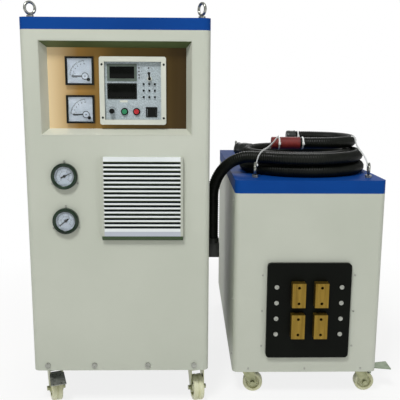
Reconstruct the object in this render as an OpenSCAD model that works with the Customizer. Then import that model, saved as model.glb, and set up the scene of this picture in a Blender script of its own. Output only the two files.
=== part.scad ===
/* [Power cabinet] */
// Width of the power cabinet
pu_w = 530; // [500:5:580]
// Depth of the power cabinet
pu_d = 560; // [520:10:700]
// Height of the power cabinet's panels
pu_panel_h = 1006; // [960:2:1100]
// Height of the power cabinet's lid
pu_lid_h = 33; // [26:1:45]
// Height of the rails between casters and tray
pu_rail_h = 13; // [8:1:20]

/* [Heating station] */
// Width of the heating station
hs_w = 457; // [450:1:520]
// Depth of the heating station
hs_d = 905; // [880:5:1000]
// Height of the heating station's panels
hs_panel_h = 574; // [540:2:640]
// Height of the heating station's lid
hs_lid_h = 40; // [30:1:50]
// Height of the station's rails
hs_rail_h = 3; // [3:1:10]
// Gap between the two cabinets
cabinet_gap = 79; // [76:1:95]
// How far the station's front stands behind the power cabinet's front
station_back = 59; // [40:1:90]

/* [Sheet metal] */
// Thickness of the sheet steel
sheet = 2; // [1.5:0.1:2.5]
// Outer radius of the cabinets' upright edges
corner_r = 18; // [14:1:22]
// How far the front panels wrap round the sides
wrap = 26; // [25:1:34]
// Joint between neighbouring panels
seam = 0.3; // [0.2:0.05:0.5]

/* [Instrument recess] */
// Width of the recess at the front panel
recess_w = 430; // [424:1:440]
// Height of the recess at the front panel
recess_h = 264; // [258:1:272]
// Distance from the panel's top edge to the recess
recess_drop = 28; // [22:1:36]
// Depth of the recess
recess_depth = 36; // [30:1:44]
// Width of the sloped surround, seen from the front
bevel = 18; // [14:1:19]
// Side of the square panel meters
meter_size = 80; // [76:1:84]
// Distance between the meters' centres
meter_pitch = 108; // [100:1:116]
// Width of the controller
ctl_w = 189; // [182:1:194]
// Height of the controller
ctl_h = 191; // [186:1:198]

/* [Gauges and vent] */
// Outer diameter of the pressure gauges
gauge_d = 75; // [66:1:80]
// Distance between the gauges' centres
gauge_pitch = 131; // [120:1:140]
// Width of the vent grille
vent_w = 234; // [224:2:244]
// Height of the vent grille
vent_h = 243; // [236:1:252]
// How far the vent grille stands proud
vent_proud = 16; // [15:0.5:20]

/* [Terminal board] */
// Width of the terminal board
board_w = 259; // [250:1:264]
// Height of the terminal board
board_h = 306; // [296:1:316]
// Width of an output block
block_w = 41; // [36:1:46]
// Height of an output block
block_h = 77; // [72:1:84]
// Thickness of an output block
block_t = 25; // [18:1:30]
// Distance between the two holes of a block
block_hole_pitch = 50; // [46:0.5:54]
// Diameter of the holes in a block
block_hole_d = 9; // [7:0.5:11]

/* [Casters] */
// Wheel diameter under the power cabinet
pu_wheel_d = 80; // [74:1:84]
// Wheel width under the power cabinet
pu_wheel_w = 32; // [28:1:34]
// Height of the power cabinet's casters
pu_caster_h = 112; // [110:1:120]
// Wheel diameter under the station
hs_wheel_d = 63; // [58:1:64]
// Wheel width under the station
hs_wheel_w = 25; // [22:1:27]
// Height of the station's casters
hs_caster_h = 86; // [85:1:92]

/* [Hoses] */
// Outer diameter of the hose
hose_d = 38; // [34:1:39]
// Bore of the hose
hose_bore = 30; // [24:1:30]
// Centre radius of the coil's outer loop
coil_r = 205; // [196:1:206]
// Bend radius of the riser
riser_bend = 140; // [130:1:141]
// Bend radius of the jumper hose
jumper_bend = 145; // [130:1:150]

/* [Hidden] */
$fn = 48;

// Overrun of every cut, clearance between neighbours and running fit of shafts
over = 1;
clear = 0.3;
run_fit = 0.05;

// Levels of the power cabinet
pu_z = pu_caster_h + pu_rail_h;
pu_top = pu_z + pu_panel_h;
pu_lid_top = pu_top + pu_lid_h;

// Place and levels of the heating station
hs_x = pu_w + cabinet_gap;
hs_y = station_back;
hs_z = hs_caster_h + hs_rail_h;
hs_top = hs_z + hs_panel_h;
hs_lid_top = hs_top + hs_lid_h;

// Trays, rails, flanges and lids
tray_t = 3;
pu_rail_w = 76;
hs_rail_w = 64;
flange_h = 28;
lid_lip = 12;

// Casters: swivel axes from the sides and ends, trail, top plate and crown
pu_swivel_in = [40, 92];
hs_swivel_in = [46, 60];
pu_trail = 33;
hs_trail = 25;
pu_plate = 72;
hs_plate = 60;
pu_crown_r = 28;
hs_crown_r = 23;
plate_t = 4;
race_h = 3.4;
race_share = 0.33;
crown_t = 6;
kingpin_r = 5;
kingpin_head_r = 9;
kingpin_head_h = 4;
leg_t = 3;
leg_play = 2;
leg_top_share = 0.6;
crown_reach_share = 1.18;
boss_r = 12;
axle_r = 5;
nut_r = 8;
nut_h = 7;

// Wheels: shares of the radius and of the width
hub_share = 0.38;
rim_share = 0.7;
web_share = 0.18;
edge_share = 0.1;
groove_share = 0.08;

// Turn of each fork about its swivel: 0 trails to the front, 90 to the right
pu_turns = [20, 12, 200, 150];
hs_turns = [84, 90, 205, 160];

// Brake pedals: pin ahead of the axle and above the wheel, crank, plate and angles
pedal_pin_r = 2.5;
pedal_eye_r = 5;
pedal_t = 3;
pedal_throw_angle = 28;
pu_pedal_ahead = 12;
pu_pedal_above = 13;
pu_pedal_crank = [13, 6];
pu_pedal_l = 44;
pu_pedal_w = [44, 47];
pu_pedal_angle = 29;
hs_pedal_ahead = 17;
hs_pedal_above = 11;
hs_pedal_crank = [13, 3];
hs_pedal_l = 54;
hs_pedal_w = [34, 56];
hs_pedal_angle = 28;

// Reach of the raised pedal beside the station, which ends the machine on the right
raised_angle = hs_pedal_angle - pedal_throw_angle;
crank_reach = hs_pedal_crank[0] * cos(pedal_throw_angle) - hs_pedal_crank[1] * sin(pedal_throw_angle);
pedal_reach = hs_trail + hs_pedal_ahead + crank_reach
    + hs_pedal_l * cos(raised_angle) - pedal_t * sin(raised_angle);

// Whole extents: the origin is the middle of the standing machine
water_tail_l = 34;
x_max = hs_x + hs_w - hs_swivel_in[0] + pedal_reach;
y_max = hs_y + hs_d + water_tail_l;
origin_x = x_max / 2;
origin_y = (y_max - vent_proud) / 2;

// Recess and instrument plate
recess_x = (pu_w - recess_w) / 2;
recess_z = pu_top - recess_drop - recess_h;
inner_w = recess_w - 2 * bevel;
inner_h = recess_h - 2 * bevel;
recess_mid = [pu_w / 2, recess_z + recess_h / 2];
plate_lap = 12;
gold_t = 3;
row_drop = 5;
row_z = recess_mid[1] - row_drop;

// Panel meters
meter_in = 91;
meter_x = recess_x + bevel + meter_in;
meter_zs = [row_z + meter_pitch / 2, row_z - meter_pitch / 2];
meter_proud = 10;
meter_rim = 5;
meter_pocket = 8;
meter_body_share = 0.43;
meter_body_l = 50;
meter_pivot_share = [0.194, -0.184];
meter_front = recess_depth - meter_proud;

// Pointers and windows of meters and gauges
stub_r = 1.2;
pointer_hub_r = 4;
pointer_hub_l = 3;
pointer_t = 0.8;
pointer_w = 2.4;
pointer_tail_share = 1.2;
meter_pointer_share = 0.475;
gauge_pointer_share = 0.28;
window_t = 1.2;
window_in = 1;
window_lap = 1.5;

// Controller: bezel, face and housing
ctl_in = 152;
ctl_drop = 1.5;
ctl_mid = [recess_mid[0] + inner_w / 2 - ctl_in, row_z - ctl_drop];
ctl_rim = 14;
ctl_proud = 14;
ctl_face_t = 3;
ctl_wall = 4;
ctl_box_l = 90;
ctl_round = 6;
face_w = ctl_w - 2 * ctl_rim;
face_h = ctl_h - 2 * ctl_rim;
face_y = recess_depth - ctl_face_t;

// Controller: places on the face, as shares of the controller's width and height
display_shares = [[-0.164, 0.27, 0.443, 0.245], [-0.166, -0.003, 0.443, 0.23]];
display_rim = 5;
display_proud = 1.5;
lamp_shares = [[0.092, 0.337], [0.092, 0.287], [0.092, 0.235], [0.092, 0.191], [0.238, 0.337]];
lamp_r = 1.8;
lamp_proud = 1;
key_x_shares = [0.16, 0.245, 0.329];
key_z_shares = [0.102, 0.005, -0.089];
key_r = 2.8;
knob_share = [-0.322, -0.299];
start_share = [-0.133, -0.306];
stop_share = [0.049, -0.305];
rocker_share = [0.277, -0.312];
toggle_share = [0.25, 0.18];

// Controller: buttons, knob, toggle and rocker
button_r = 7;
button_ring_r = 10;
button_ring_l = 3;
button_proud = 8;
button_flange_r = 9;
button_flange_t = 2;
knob_r = 7;
knob_l = 14;
knob_shaft_r = 3;
knob_clip_r = 5;
knob_clip_t = 1.5;
bushing_r = 6.5;
bushing_l = 5;
bushing_bore_r = 4.6;
toggle_ball_r = 4;
toggle_lever_r = 2.2;
toggle_lever_l = 30;
toggle_tip_r = 4.2;
toggle_tip_l = 12;
toggle_angle = 30;
rocker_size = [32, 28];
rocker_rim = 2.5;
rocker_play = 1.5;
rocker_half_t = 5;
rocker_dish = 1.5;
rocker_pin_r = 1.5;
rocker_pin_l = 1.2;
rocker_angle = 9;

// Pressure gauges and their stems
gauge_x = 113.3;
gauge_drop = 407.8;
gauge_zs = [pu_top - gauge_drop, pu_top - gauge_drop - gauge_pitch];
gauge_proud = 13;
gauge_pocket = 9;
gauge_rim_share = 0.87;
gauge_body_share = 0.84;
gauge_body_l = 26;
gauge_screw_gap = 5.2;
gauge_stem_r = 6;
gauge_stem_ls = [30, 8];
gauge_rest_angles = [25.6, 218.3];

// Vent grille
vent_x = 219;
vent_drop = 352;
vent_z = pu_top - vent_drop - vent_h;
vent_mid = [vent_x + vent_w / 2, vent_z + vent_h / 2];
vent_front_t = 5;
vent_wall = 3;
vent_slots = 16;
vent_slot_h = 6;
vent_side = 7;
vent_head = 17.5;
vent_pitch = 12.5;
vent_slot_angle = 35;
vent_chamfer = 9;

// Fan: square frame, ring, spokes, motor and rotor
fan_size = 204;
fan_depth = 50;
fan_bore_r = 96;
fan_tip_r = 92;
fan_root_r = 25;
fan_hub_r = 30;
fan_hub_l = 22;
fan_motor_r = 27;
fan_motor_l = 18;
fan_spoke = 8;
fan_shaft_r = 4;
fan_blades = 7;
fan_chord = 28;
fan_blade_t = 3;
fan_pitch_angle = 35;
fan_motor_y = sheet + fan_depth - fan_motor_l;

// Lifting eyes: ring, wire, collar, shank and nut, and the place and turn of each
eye_d = 40;
eye_wire = 8;
eye_collar_r = 10;
eye_collar_h = 8;
eye_sink = 0.5;
eye_shank_r = 5;
pu_eye_in = [24, 40];
hs_eye_left = 66;
hs_eye_right = 39;
hs_eye_front = 66;
hs_eye_rear = 60;
pu_eyes = [
    [pu_eye_in[0], pu_eye_in[1], pu_lid_top, 44],
    [pu_w - pu_eye_in[0], pu_eye_in[1], pu_lid_top, -57],
    [pu_eye_in[0], pu_d - pu_eye_in[1], pu_lid_top, 0],
    [pu_w - pu_eye_in[0], pu_d - pu_eye_in[1], pu_lid_top, 0]
];
hs_eyes = [
    [hs_x + hs_eye_left, hs_y + hs_eye_front, hs_lid_top, 80],
    [hs_x + hs_w - hs_eye_right, hs_y + hs_eye_front, hs_lid_top, 80],
    [hs_x + hs_eye_left, hs_y + hs_d - hs_eye_rear, hs_lid_top, 90],
    [hs_x + hs_w - hs_eye_right, hs_y + hs_d - hs_eye_rear, hs_lid_top, 90]
];

// Screws: head radius and height, and shank
cap_screw = [8.5, 3.5];
small_screw = [3, 2];
board_screw = [7, 3];
shank_r = 1.8;
shank_l = 5;
pu_foot_screws = [43, 184];
pu_foot_rise = 16.5;
hs_foot_in = 50;
hs_foot_rise = 12;
side_screw_in = 12;
side_screw_shares = [0.95, 0.4, 0.08];

// Rear door: hinges, latches and louvres
return_w = 20;
door_gap = 1;
door_x = return_w + door_gap;
knuckle_r = 4.5;
knuckle_l = 12;
hinge_pin_r = 2.5;
leaf_w = 18;
hinge_shares = [0.15, 0.82];
hinge_x = return_w + door_gap / 2;
hinge_y = pu_d + knuckle_r + clear;
latch_r = 12;
latch_h = 6;
latch_in = 40;
louvre_w = 130;
louvre_h = 5;
louvre_pitch = 14;
louvre_rows = 7;
louvre_shares = [0.12, 0.72];
louvre_x_shares = [0.27, 0.73];

// Insides of the power cabinet
cold_size = [320, 30, 420];
cold_x = 105;
cold_y = 300;
module_size = [62, 30, 94];
module_rows = 3;
module_pitch = 120;
module_rise = 40;
bus_t = 4;
cap_r = 38;
cap_l = 105;
cap_pitch = 84;
cap_count = 4;
cap_y = 420;
pipe_r = 9;
pipe_rise = 60;
pipe_x = 60;
pipe_l = 300;
gauge_tube_r = 4;
fitting = 16;
saddle_t = 10;
saddle_xs = [90, 300];
gland_at = [265, 353];
gland_r = 17;
gland_bore_r = 11;
gland_nut_r = 23;
gland_below = 20;
gland_above = 10;

// Insides of the station
core_w = 220;
core_h = 250;
core_t = 90;
core_leg = 50;
coil_wall = 22;
coil_h = 130;
coil_play = 2;
core_back = 150;
lead_t = 6;
lead_w = 30;
tank_size = [150, 240, 170];
tank_back = 480;
tank_gap = 40;
strap_t = 4;
tail_r = 8;
tail_bore_r = 5;
tail_nut_r = 13;
tail_nut_h = 8;
tail_in = 12;
tail_shares = [[0.3, 0.25], [0.7, 0.25]];

// Terminal board, blocks and screws on it
board_t = 12;
board_round = 12;
board_shift = 3.5;
board_rise = 206.7;
board_mid = [hs_x + hs_w / 2 + board_shift, hs_z + board_rise];
board_y = hs_y - board_t;
block_pitch = [70, 100.4];
block_rise = 7.6;
stub_bus_r = 9;
stub_bus_l = 60;
board_screw_w = 200.5;
board_screw_pitch = 50.7;
board_screw_rise = 2;
edge_screw_w = 285.4;
edge_screw_pitch = 115.5;
edge_screw_drop = 3;

// Hoses: coil on the lid, one layer wound inwards, the next outwards
coil_loops = 1.48;
coil_start = 240;
coil_gap = 2.5;
layer_gap = 1;
coil_turns = 2 * coil_loops + 1 / 2;
coil_end = coil_start + 360 * coil_turns;
coil_in = [230, 250];
coil_at = [hs_x + coil_in[0], hs_y + coil_in[1]];
coil_pitch = hose_d + coil_gap;
low_z = hs_lid_top + hose_d / 2 + clear;
top_z = low_z + hose_d + layer_gap;
coil_sides = 6;
loop_rings = 24;
rib_sides = 8;
rib_pitch = 7.3;
rib_deep = 1.5;
bore_rings = 20;

// Hoses: heights and ends of the riser, the tail and the jumper
outlet_z = 420;
outlet_h = 50;
outlet_w = 44;
outlet_wall = 2;
coupling_r = 26;
coupling_l = 70;
tail_bend = 152;
tail_rise = coupling_r - hose_d / 2;
tail_l = 327;
sleeve_t = 1;
sleeve_l = 92;
jumper_in = [130, 180];
jumper_x = hs_x + jumper_in[0];
jumper_y = hs_y + jumper_in[1];
jumper_z = top_z + hose_d + run_fit;
jumper_near_l = 147;
jumper_far_l = 52;
cap_wall = 2;
cap_cover_l = 32;

// Cable ties
tie_w = 4.8;
tie_t = 1;
tie_head = 8;

// Machine's own corner: left face of the power cabinet, its front plane, the floor
module place() {
    translate([-origin_x, -origin_y, 0]) children();
}

// Cylinder along +X
module along_x(r, l) {
    rotate([0, 90, 0]) cylinder(r = r, h = l);
}

// Cylinder along +Y
module along_y(r, l) {
    rotate([-90, 0, 0]) cylinder(r = r, h = l);
}

// Rectangle whose two front corners are round
module round_front(w, d, r) {
    translate([r, 0]) square([w - 2 * r, d]);
    translate([0, r]) square([w, d - r]);
    for (x = [r, w - r]) translate([x, r]) circle(r);
}

// Rectangle round its middle whose four corners are round
module round_plate(w, h, r) {
    square([w - 2 * r, h], center = true);
    square([w, h - 2 * r], center = true);
    for (x = [-1, 1], y = [-1, 1]) translate([x * (w / 2 - r), y * (h / 2 - r)]) circle(r);
}

// Upright plate facing the front: its outline round a middle, from y backwards
module facing(mid, y, t) {
    translate([mid[0], y + t, mid[1]]) rotate([90, 0, 0]) linear_extrude(t) children();
}

// Front panel bent round both front edges
module wrapped_panel(w, h) {
    difference() {
        linear_extrude(h) round_front(w, wrap, corner_r);
        translate([sheet, sheet, -over]) linear_extrude(h + 2 * over)
            round_front(w - 2 * sheet, wrap, corner_r - sheet);
        translate([-over, wrap, -over]) cube([w + 2 * over, 2 * corner_r, h + 2 * over]);
    }
}

// Left side panel with its return behind
module side_panel(d, h) {
    translate([0, wrap + seam, 0]) cube([sheet, d - wrap - seam, h]);
    translate([0, d - sheet, 0]) cube([return_w, sheet, h]);
}

// Both side panels of a cabinet
module side_pair(w, d, h) {
    side_panel(d, h);
    translate([w, 0, 0]) mirror([1, 0, 0]) side_panel(d, h);
}

// Lid: shallow tray upside down, with a lip inside the panels
module lid(w, d, h) {
    inset = sheet + seam;
    deeper = inset + sheet;
    difference() {
        linear_extrude(h) round_front(w, d, corner_r);
        translate([sheet, sheet, -over]) linear_extrude(h - sheet + over)
            round_front(w - 2 * sheet, d - 2 * sheet, corner_r - sheet);
    }
    translate([0, 0, -lid_lip]) linear_extrude(h - sheet / 2 + lid_lip) difference() {
        translate([inset, inset]) round_front(w - 2 * inset, d - 2 * inset, corner_r - inset);
        translate([deeper, deeper]) round_front(w - 2 * deeper, d - 2 * deeper, corner_r - deeper);
    }
}

// Tray of a cabinet with its front flange, and two rails under it
module tray(w, d, rail_y, rail_w, rail_h) {
    translate([sheet, sheet, 0]) linear_extrude(tray_t)
        round_front(w - 2 * sheet, d - 2 * sheet - clear, corner_r);
    translate([corner_r + sheet, sheet, 0]) cube([w - 2 * corner_r - 2 * sheet, sheet, flange_h]);
    for (y = [rail_y, d - rail_y])
        translate([sheet, y - rail_w / 2, -rail_h]) cube([w - 2 * sheet, rail_w, rail_h]);
}

// Swivel axes of a cabinet's four casters
function swivels(x, y, w, d, inset) = [
    [x + inset[0], y + inset[1]], [x + w - inset[0], y + inset[1]],
    [x + inset[0], y + d - inset[1]], [x + w - inset[0], y + d - inset[1]]
];
pu_swivels = swivels(0, 0, pu_w, pu_d, pu_swivel_in);
hs_swivels = swivels(hs_x, hs_y, hs_w, hs_d, hs_swivel_in);

// Levels of a caster of height h: underside of its race, and its crown below
function race_z(h) = h - plate_t - race_h;
function crown_z(h) = race_z(h) - clear - crown_t;

// Fixed part of a caster: top plate, ball race and kingpin with its head
module caster_seat(plate, h) {
    translate([-plate / 2, -plate / 2, h - plate_t]) cube([plate, plate, plate_t - run_fit]);
    translate([0, 0, race_z(h)]) cylinder(r = plate * race_share, h = race_h);
    translate([0, 0, crown_z(h) - clear]) cylinder(r = kingpin_r, h = crown_t + 2 * clear);
    translate([0, 0, crown_z(h) - clear - kingpin_head_h])
        cylinder(r = kingpin_head_r, h = kingpin_head_h);
}

// One leg of a fork, seen from the side
module leg_outline(d, trail, top, crown_r) {
    polygon([
        [-trail * crown_reach_share, top], [crown_r * leg_top_share, top],
        [boss_r - trail, d / 2], [-trail - boss_r, d / 2]
    ]);
    translate([-trail, d / 2]) circle(boss_r);
}

// Fork of a caster, its wheel ahead of the swivel, with its axle and nuts
module fork(d, w, trail, h, crown_r, pedal = [0, 0]) {
    inside = w / 2 + leg_play;
    outside = inside + leg_t;
    low = crown_z(h);
    top = low + crown_t;
    reach = trail * crown_reach_share;
    difference() {
        union() {
            translate([0, 0, low]) cylinder(r = crown_r, h = crown_t);
            translate([-outside, -reach, low])
                cube([2 * outside, reach + crown_r * leg_top_share, crown_t]);
        }
        translate([0, 0, low - over]) cylinder(r = kingpin_r + run_fit, h = crown_t + 2 * over);
    }
    for (x = [-outside, inside])
        translate([x, 0, 0]) rotate([90, 0, 90]) linear_extrude(leg_t)
            leg_outline(d, trail, top, crown_r);
    translate([-outside, -trail, d / 2]) along_x(axle_r, 2 * outside);
    for (x = [-outside - nut_h, outside])
        translate([x, -trail, d / 2]) rotate([0, 90, 0]) cylinder(r = nut_r, h = nut_h, $fn = 6);
    if (pedal[0] > 0) {
        for (x = [-outside, inside])
            translate([x, -pedal[0] - pedal_eye_r, pedal[1] - pedal_eye_r])
                cube([leg_t, pedal[0] + pedal_eye_r - trail, top - pedal[1] + pedal_eye_r]);
        translate([-outside, -pedal[0], pedal[1]]) along_x(pedal_pin_r, 2 * outside);
    }
}

// Wheel of a caster: hub, web and grooved tread, on its axle
module wheel(d, w, trail) {
    r = d / 2;
    hub = w / 2 + leg_play - clear;
    edge = edge_share * w;
    groove = groove_share * w;
    translate([0, -trail, r]) rotate([0, 90, 0]) rotate_extrude() polygon([
        [axle_r + run_fit, -hub], [r * hub_share, -hub],
        [r * hub_share, -w * web_share], [r * rim_share, -w * web_share],
        [r * rim_share, -w / 2], [r - edge, -w / 2], [r, edge - w / 2],
        [r, -groove], [r - groove, 0], [r, groove],
        [r, w / 2 - edge], [r - edge, w / 2], [r * rim_share, w / 2],
        [r * rim_share, w * web_share], [r * hub_share, w * web_share],
        [r * hub_share, hub], [axle_r + run_fit, hub]
    ]);
}

// Brake pedal pressed down: eye, crank, foot plate and the cam over the wheel
module pedal(w, crank, plate_l, plate_w, angle, ahead, above, d) {
    eye_l = w + 2 * leg_play - 2 * clear;
    arm_w = eye_l - 2 * clear;
    cam_l = norm([ahead, d / 2 + above]) - d / 2 - clear;
    cam_angle = atan2(ahead, d / 2 + above);
    difference() {
        union() {
            translate([-eye_l / 2, 0, 0]) along_x(pedal_eye_r, eye_l);
            rotate([-atan2(crank[1], crank[0]), 0, 0])
                translate([-arm_w / 2, -norm(crank) - clear, -pedal_t - clear])
                    cube([arm_w, norm(crank) + clear, pedal_t]);
            rotate([cam_angle, 0, 0]) translate([-arm_w / 2, -pedal_t, -cam_l])
                cube([arm_w, 2 * pedal_t, cam_l]);
            translate([0, -crank[0], crank[1]]) rotate([angle, 0, 0])
                translate([0, 0, -pedal_t]) linear_extrude(pedal_t) polygon([
                    [-plate_w[0] / 2, 0], [plate_w[0] / 2, 0],
                    [plate_w[1] / 2, -plate_l], [-plate_w[1] / 2, -plate_l]
                ]);
        }
        translate([-eye_l / 2 - over, 0, 0]) along_x(pedal_pin_r + run_fit, eye_l + 2 * over);
    }
}

// Place and turn of a caster's swivelling parts
module at_swivel(at, turn) {
    place() translate([at[0], at[1], 0]) rotate([0, 0, turn]) children();
}

// Places of the screws along the foot of the power cabinet's front panel
module pu_foot_screws_at() {
    for (s = pu_foot_screws, x = [s, pu_w - s]) translate([x, 0, pu_z + pu_foot_rise]) children();
}

module pu_base() color("#b9bdae") {
    place() {
        difference() {
            translate([0, 0, pu_z]) tray(pu_w, pu_d, pu_swivel_in[1], pu_rail_w, pu_rail_h);
            translate([gland_at[0], gland_at[1], pu_z - over])
                cylinder(r = gland_r + clear, h = tray_t + 2 * over);
            pu_foot_screws_at() along_y(shank_r + clear, shank_l + over);
        }
        for (s = pu_swivels) translate([s[0], s[1], 0]) caster_seat(pu_plate, pu_caster_h);
        translate([gland_at[0], gland_at[1], pu_z - gland_below]) difference() {
            union() {
                cylinder(r = gland_r, h = gland_below + tray_t + gland_above);
                cylinder(r = gland_nut_r, h = gland_below, $fn = 6);
            }
            translate([0, 0, -over])
                cylinder(r = gland_bore_r, h = gland_below + tray_t + gland_above + 2 * over);
        }
    }
}

// Places of the three screws round a gauge
module gauge_screws_at(z) {
    r = gauge_d / 2 + gauge_screw_gap;
    for (a = [90, 210, 330]) translate([gauge_x + r * cos(a), 0, z + r * sin(a)]) children();
}

module pu_front_panel() color("#c3c7b9") {
    cut = sheet + 2 * over;
    place() difference() {
        translate([0, 0, pu_z]) wrapped_panel(pu_w, pu_panel_h);
        translate([recess_x, -over, recess_z]) cube([recess_w, cut, recess_h]);
        for (z = gauge_zs) {
            translate([gauge_x, -over, z]) along_y(gauge_d / 2 * gauge_body_share + clear, cut);
            gauge_screws_at(z) translate([0, -over, 0]) along_y(shank_r + clear, cut);
        }
        translate([vent_mid[0], -over, vent_mid[1]]) along_y(fan_bore_r, cut);
        pu_foot_screws_at() translate([0, -over, 0]) along_y(shank_r + clear, cut);
    }
}

module pu_side_panels() color("#c3c7b9") {
    place() {
        translate([0, 0, pu_z]) side_pair(pu_w, pu_d, pu_panel_h);
        for (s = hinge_shares) translate([0, 0, pu_z + s * pu_panel_h]) {
            translate([hinge_x - leaf_w, pu_d, 0])
                cube([leaf_w - knuckle_r - clear, sheet, 3 * knuckle_l]);
            for (z = [0, 2 * knuckle_l]) {
                translate([hinge_x - leaf_w, pu_d, z]) cube([leaf_w, sheet, knuckle_l]);
                translate([hinge_x, hinge_y, z]) cylinder(r = knuckle_r, h = knuckle_l);
            }
            translate([hinge_x, hinge_y, 0]) cylinder(r = hinge_pin_r, h = 3 * knuckle_l);
        }
    }
}

module pu_rear_door() color("#bcc0b2") {
    door_w = pu_w - 2 * door_x;
    door_z = pu_z + tray_t + door_gap;
    place() {
        difference() {
            translate([door_x, pu_d - sheet, door_z])
                cube([door_w, sheet, pu_panel_h - tray_t - 2 * door_gap]);
            for (share = louvre_shares, x = louvre_x_shares, i = [0 : louvre_rows - 1])
                translate([
                    door_x + door_w * x - louvre_w / 2, pu_d - sheet - over,
                    pu_z + pu_panel_h * share + i * louvre_pitch
                ]) cube([louvre_w, sheet + 2 * over, louvre_h]);
        }
        for (s = hinge_shares) translate([0, 0, pu_z + s * pu_panel_h]) difference() {
            union() {
                translate([hinge_x + knuckle_r + clear, pu_d, 0])
                    cube([leaf_w - knuckle_r - clear, sheet, 3 * knuckle_l]);
                translate([hinge_x, pu_d, knuckle_l + clear])
                    cube([leaf_w, sheet, knuckle_l - 2 * clear]);
                translate([hinge_x, hinge_y, knuckle_l + clear])
                    cylinder(r = knuckle_r, h = knuckle_l - 2 * clear);
            }
            translate([hinge_x, hinge_y, 0]) cylinder(r = hinge_pin_r + run_fit, h = 3 * knuckle_l);
        }
        for (s = hinge_shares)
            translate([pu_w - door_x - latch_in, pu_d, pu_z + s * pu_panel_h]) along_y(latch_r, latch_h);
    }
}

// Holes for the shanks of a lid's eyes
module eye_holes(eyes) {
    for (e = eyes)
        translate([e[0], e[1], e[2] - sheet - over])
            cylinder(r = eye_shank_r + clear, h = sheet + 2 * over);
}

module pu_lid() color("#1c4f9e") {
    place() difference() {
        translate([0, 0, pu_top]) lid(pu_w, pu_d, pu_lid_h);
        eye_holes(pu_eyes);
    }
}

// Corners of the sloped surround at depth y, and the block between two depths
function surround_corners(y, thinner) =
    let (slope = (bevel - sheet - seam) * y / recess_depth)
    let (size = [recess_w, recess_h] / 2 - (seam + slope + thinner) * [1, 1])
    [for (c = [[-1, -1], [1, -1], [1, 1], [-1, 1]]) [c[0] * size[0], c[1] * size[1], y]];
module taper(y, l, thinner) {
    polyhedron(
        concat(surround_corners(y, thinner), surround_corners(y + l, thinner)),
        [
            [0, 1, 2, 3], [7, 6, 5, 4], [0, 4, 5, 1], [1, 5, 6, 2], [2, 6, 7, 3], [3, 7, 4, 0]
        ]
    );
}

// Sloped frame round the recess, from its flange behind the panel to the instrument plate
module recess_surround() color("#b4b8aa") {
    place() translate([recess_mid[0], 0, recess_mid[1]]) rotate([-90, 0, 0]) difference() {
        union() {
            taper(0, recess_depth, 0);
            translate([0, 0, sheet]) linear_extrude(sheet)
                square([recess_w + 2 * plate_lap, recess_h + 2 * plate_lap], center = true);
        }
        taper(-over, recess_depth + 2 * over, sheet);
    }
}

module instrument_plate() color("#b98d2c") {
    place() difference() {
        facing(recess_mid, recess_depth, gold_t)
            square([inner_w + 2 * plate_lap, inner_h + 2 * plate_lap], center = true);
        for (z = meter_zs)
            translate([meter_x, recess_depth - over, z])
                along_y(meter_size * meter_body_share + clear, gold_t + 2 * over);
        facing(ctl_mid, recess_depth - over, gold_t + 2 * over)
            square([face_w + ctl_wall + 2 * seam, face_h + ctl_wall + 2 * seam], center = true);
    }
}

// Pivot of a panel meter at height z
function meter_pivot(z) = [
    meter_x + meter_size * meter_pivot_share[0], z + meter_size * meter_pivot_share[1]
];

// Cases of the two panel meters and the two gauges
module instrument_cases() color("#23261f") {
    pane = meter_size - 2 * meter_rim;
    place() {
        for (z = meter_zs) {
            pivot = meter_pivot(z);
            difference() {
                union() {
                    facing([meter_x, z], meter_front, meter_proud) square(meter_size, center = true);
                    translate([meter_x, recess_depth, z])
                        along_y(meter_size * meter_body_share, meter_body_l);
                }
                facing([meter_x, z], meter_front - over, meter_pocket + over)
                    square(pane, center = true);
                facing([meter_x, z], meter_front - over, window_in + window_t + over)
                    square(pane + 2 * window_lap, center = true);
            }
            translate([pivot[0], meter_front + meter_pocket - pointer_hub_l - 2 * clear, pivot[1]])
                along_y(stub_r, pointer_hub_l + 3 * clear);
        }
        for (i = [0, 1]) {
            rim_r = gauge_d / 2 * gauge_rim_share;
            difference() {
                union() {
                    translate([gauge_x, -gauge_proud, gauge_zs[i]]) along_y(gauge_d / 2, gauge_proud);
                    translate([gauge_x, -over, gauge_zs[i]])
                        along_y(gauge_d / 2 * gauge_body_share, sheet + gauge_body_l + over);
                }
                translate([gauge_x, -gauge_proud - over, gauge_zs[i]]) along_y(rim_r, gauge_pocket + over);
                translate([gauge_x, -gauge_proud - over, gauge_zs[i]])
                    along_y(rim_r + window_lap, window_in + window_t + over);
            }
            translate([gauge_x, gauge_pocket - gauge_proud - pointer_hub_l - 2 * clear, gauge_zs[i]])
                along_y(stub_r, pointer_hub_l + 3 * clear);
            translate([gauge_x, sheet + gauge_body_l - over, gauge_zs[i]])
                along_y(gauge_stem_r, gauge_stem_ls[i] + over);
        }
    }
}

// Pointer with its hub, lying to the left of its pivot
module pointer(l) {
    tail = pointer_hub_r * pointer_tail_share;
    difference() {
        union() {
            along_y(pointer_hub_r, pointer_hub_l);
            translate([-l, pointer_hub_l / 2 - pointer_t / 2, 0])
                rotate([-90, 0, 0]) linear_extrude(pointer_t) polygon([
                    [0, 0], [l, pointer_w / 2], [l + tail, pointer_w],
                    [l + tail, -pointer_w], [l, -pointer_w / 2]
                ]);
        }
        translate([0, -over, 0]) along_y(stub_r + run_fit, pointer_hub_l + 2 * over);
    }
}

// Meter pointer at rest, at the left end of its scale
module meter_pointer(z) {
    pivot = meter_pivot(z);
    place() translate([pivot[0], meter_front + meter_pocket - clear - pointer_hub_l, pivot[1]])
        pointer(meter_size * meter_pointer_share);
}

// Gauge pointer at rest, turned up from the right by its angle
module gauge_pointer(i) {
    place() translate([gauge_x, gauge_pocket - gauge_proud - clear - pointer_hub_l, gauge_zs[i]])
        rotate([0, 180 - gauge_rest_angles[i], 0]) pointer(gauge_d * gauge_pointer_share);
}

module upper_meter_pointer() color("#1b1b1b") {
    meter_pointer(meter_zs[0]);
}

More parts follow.
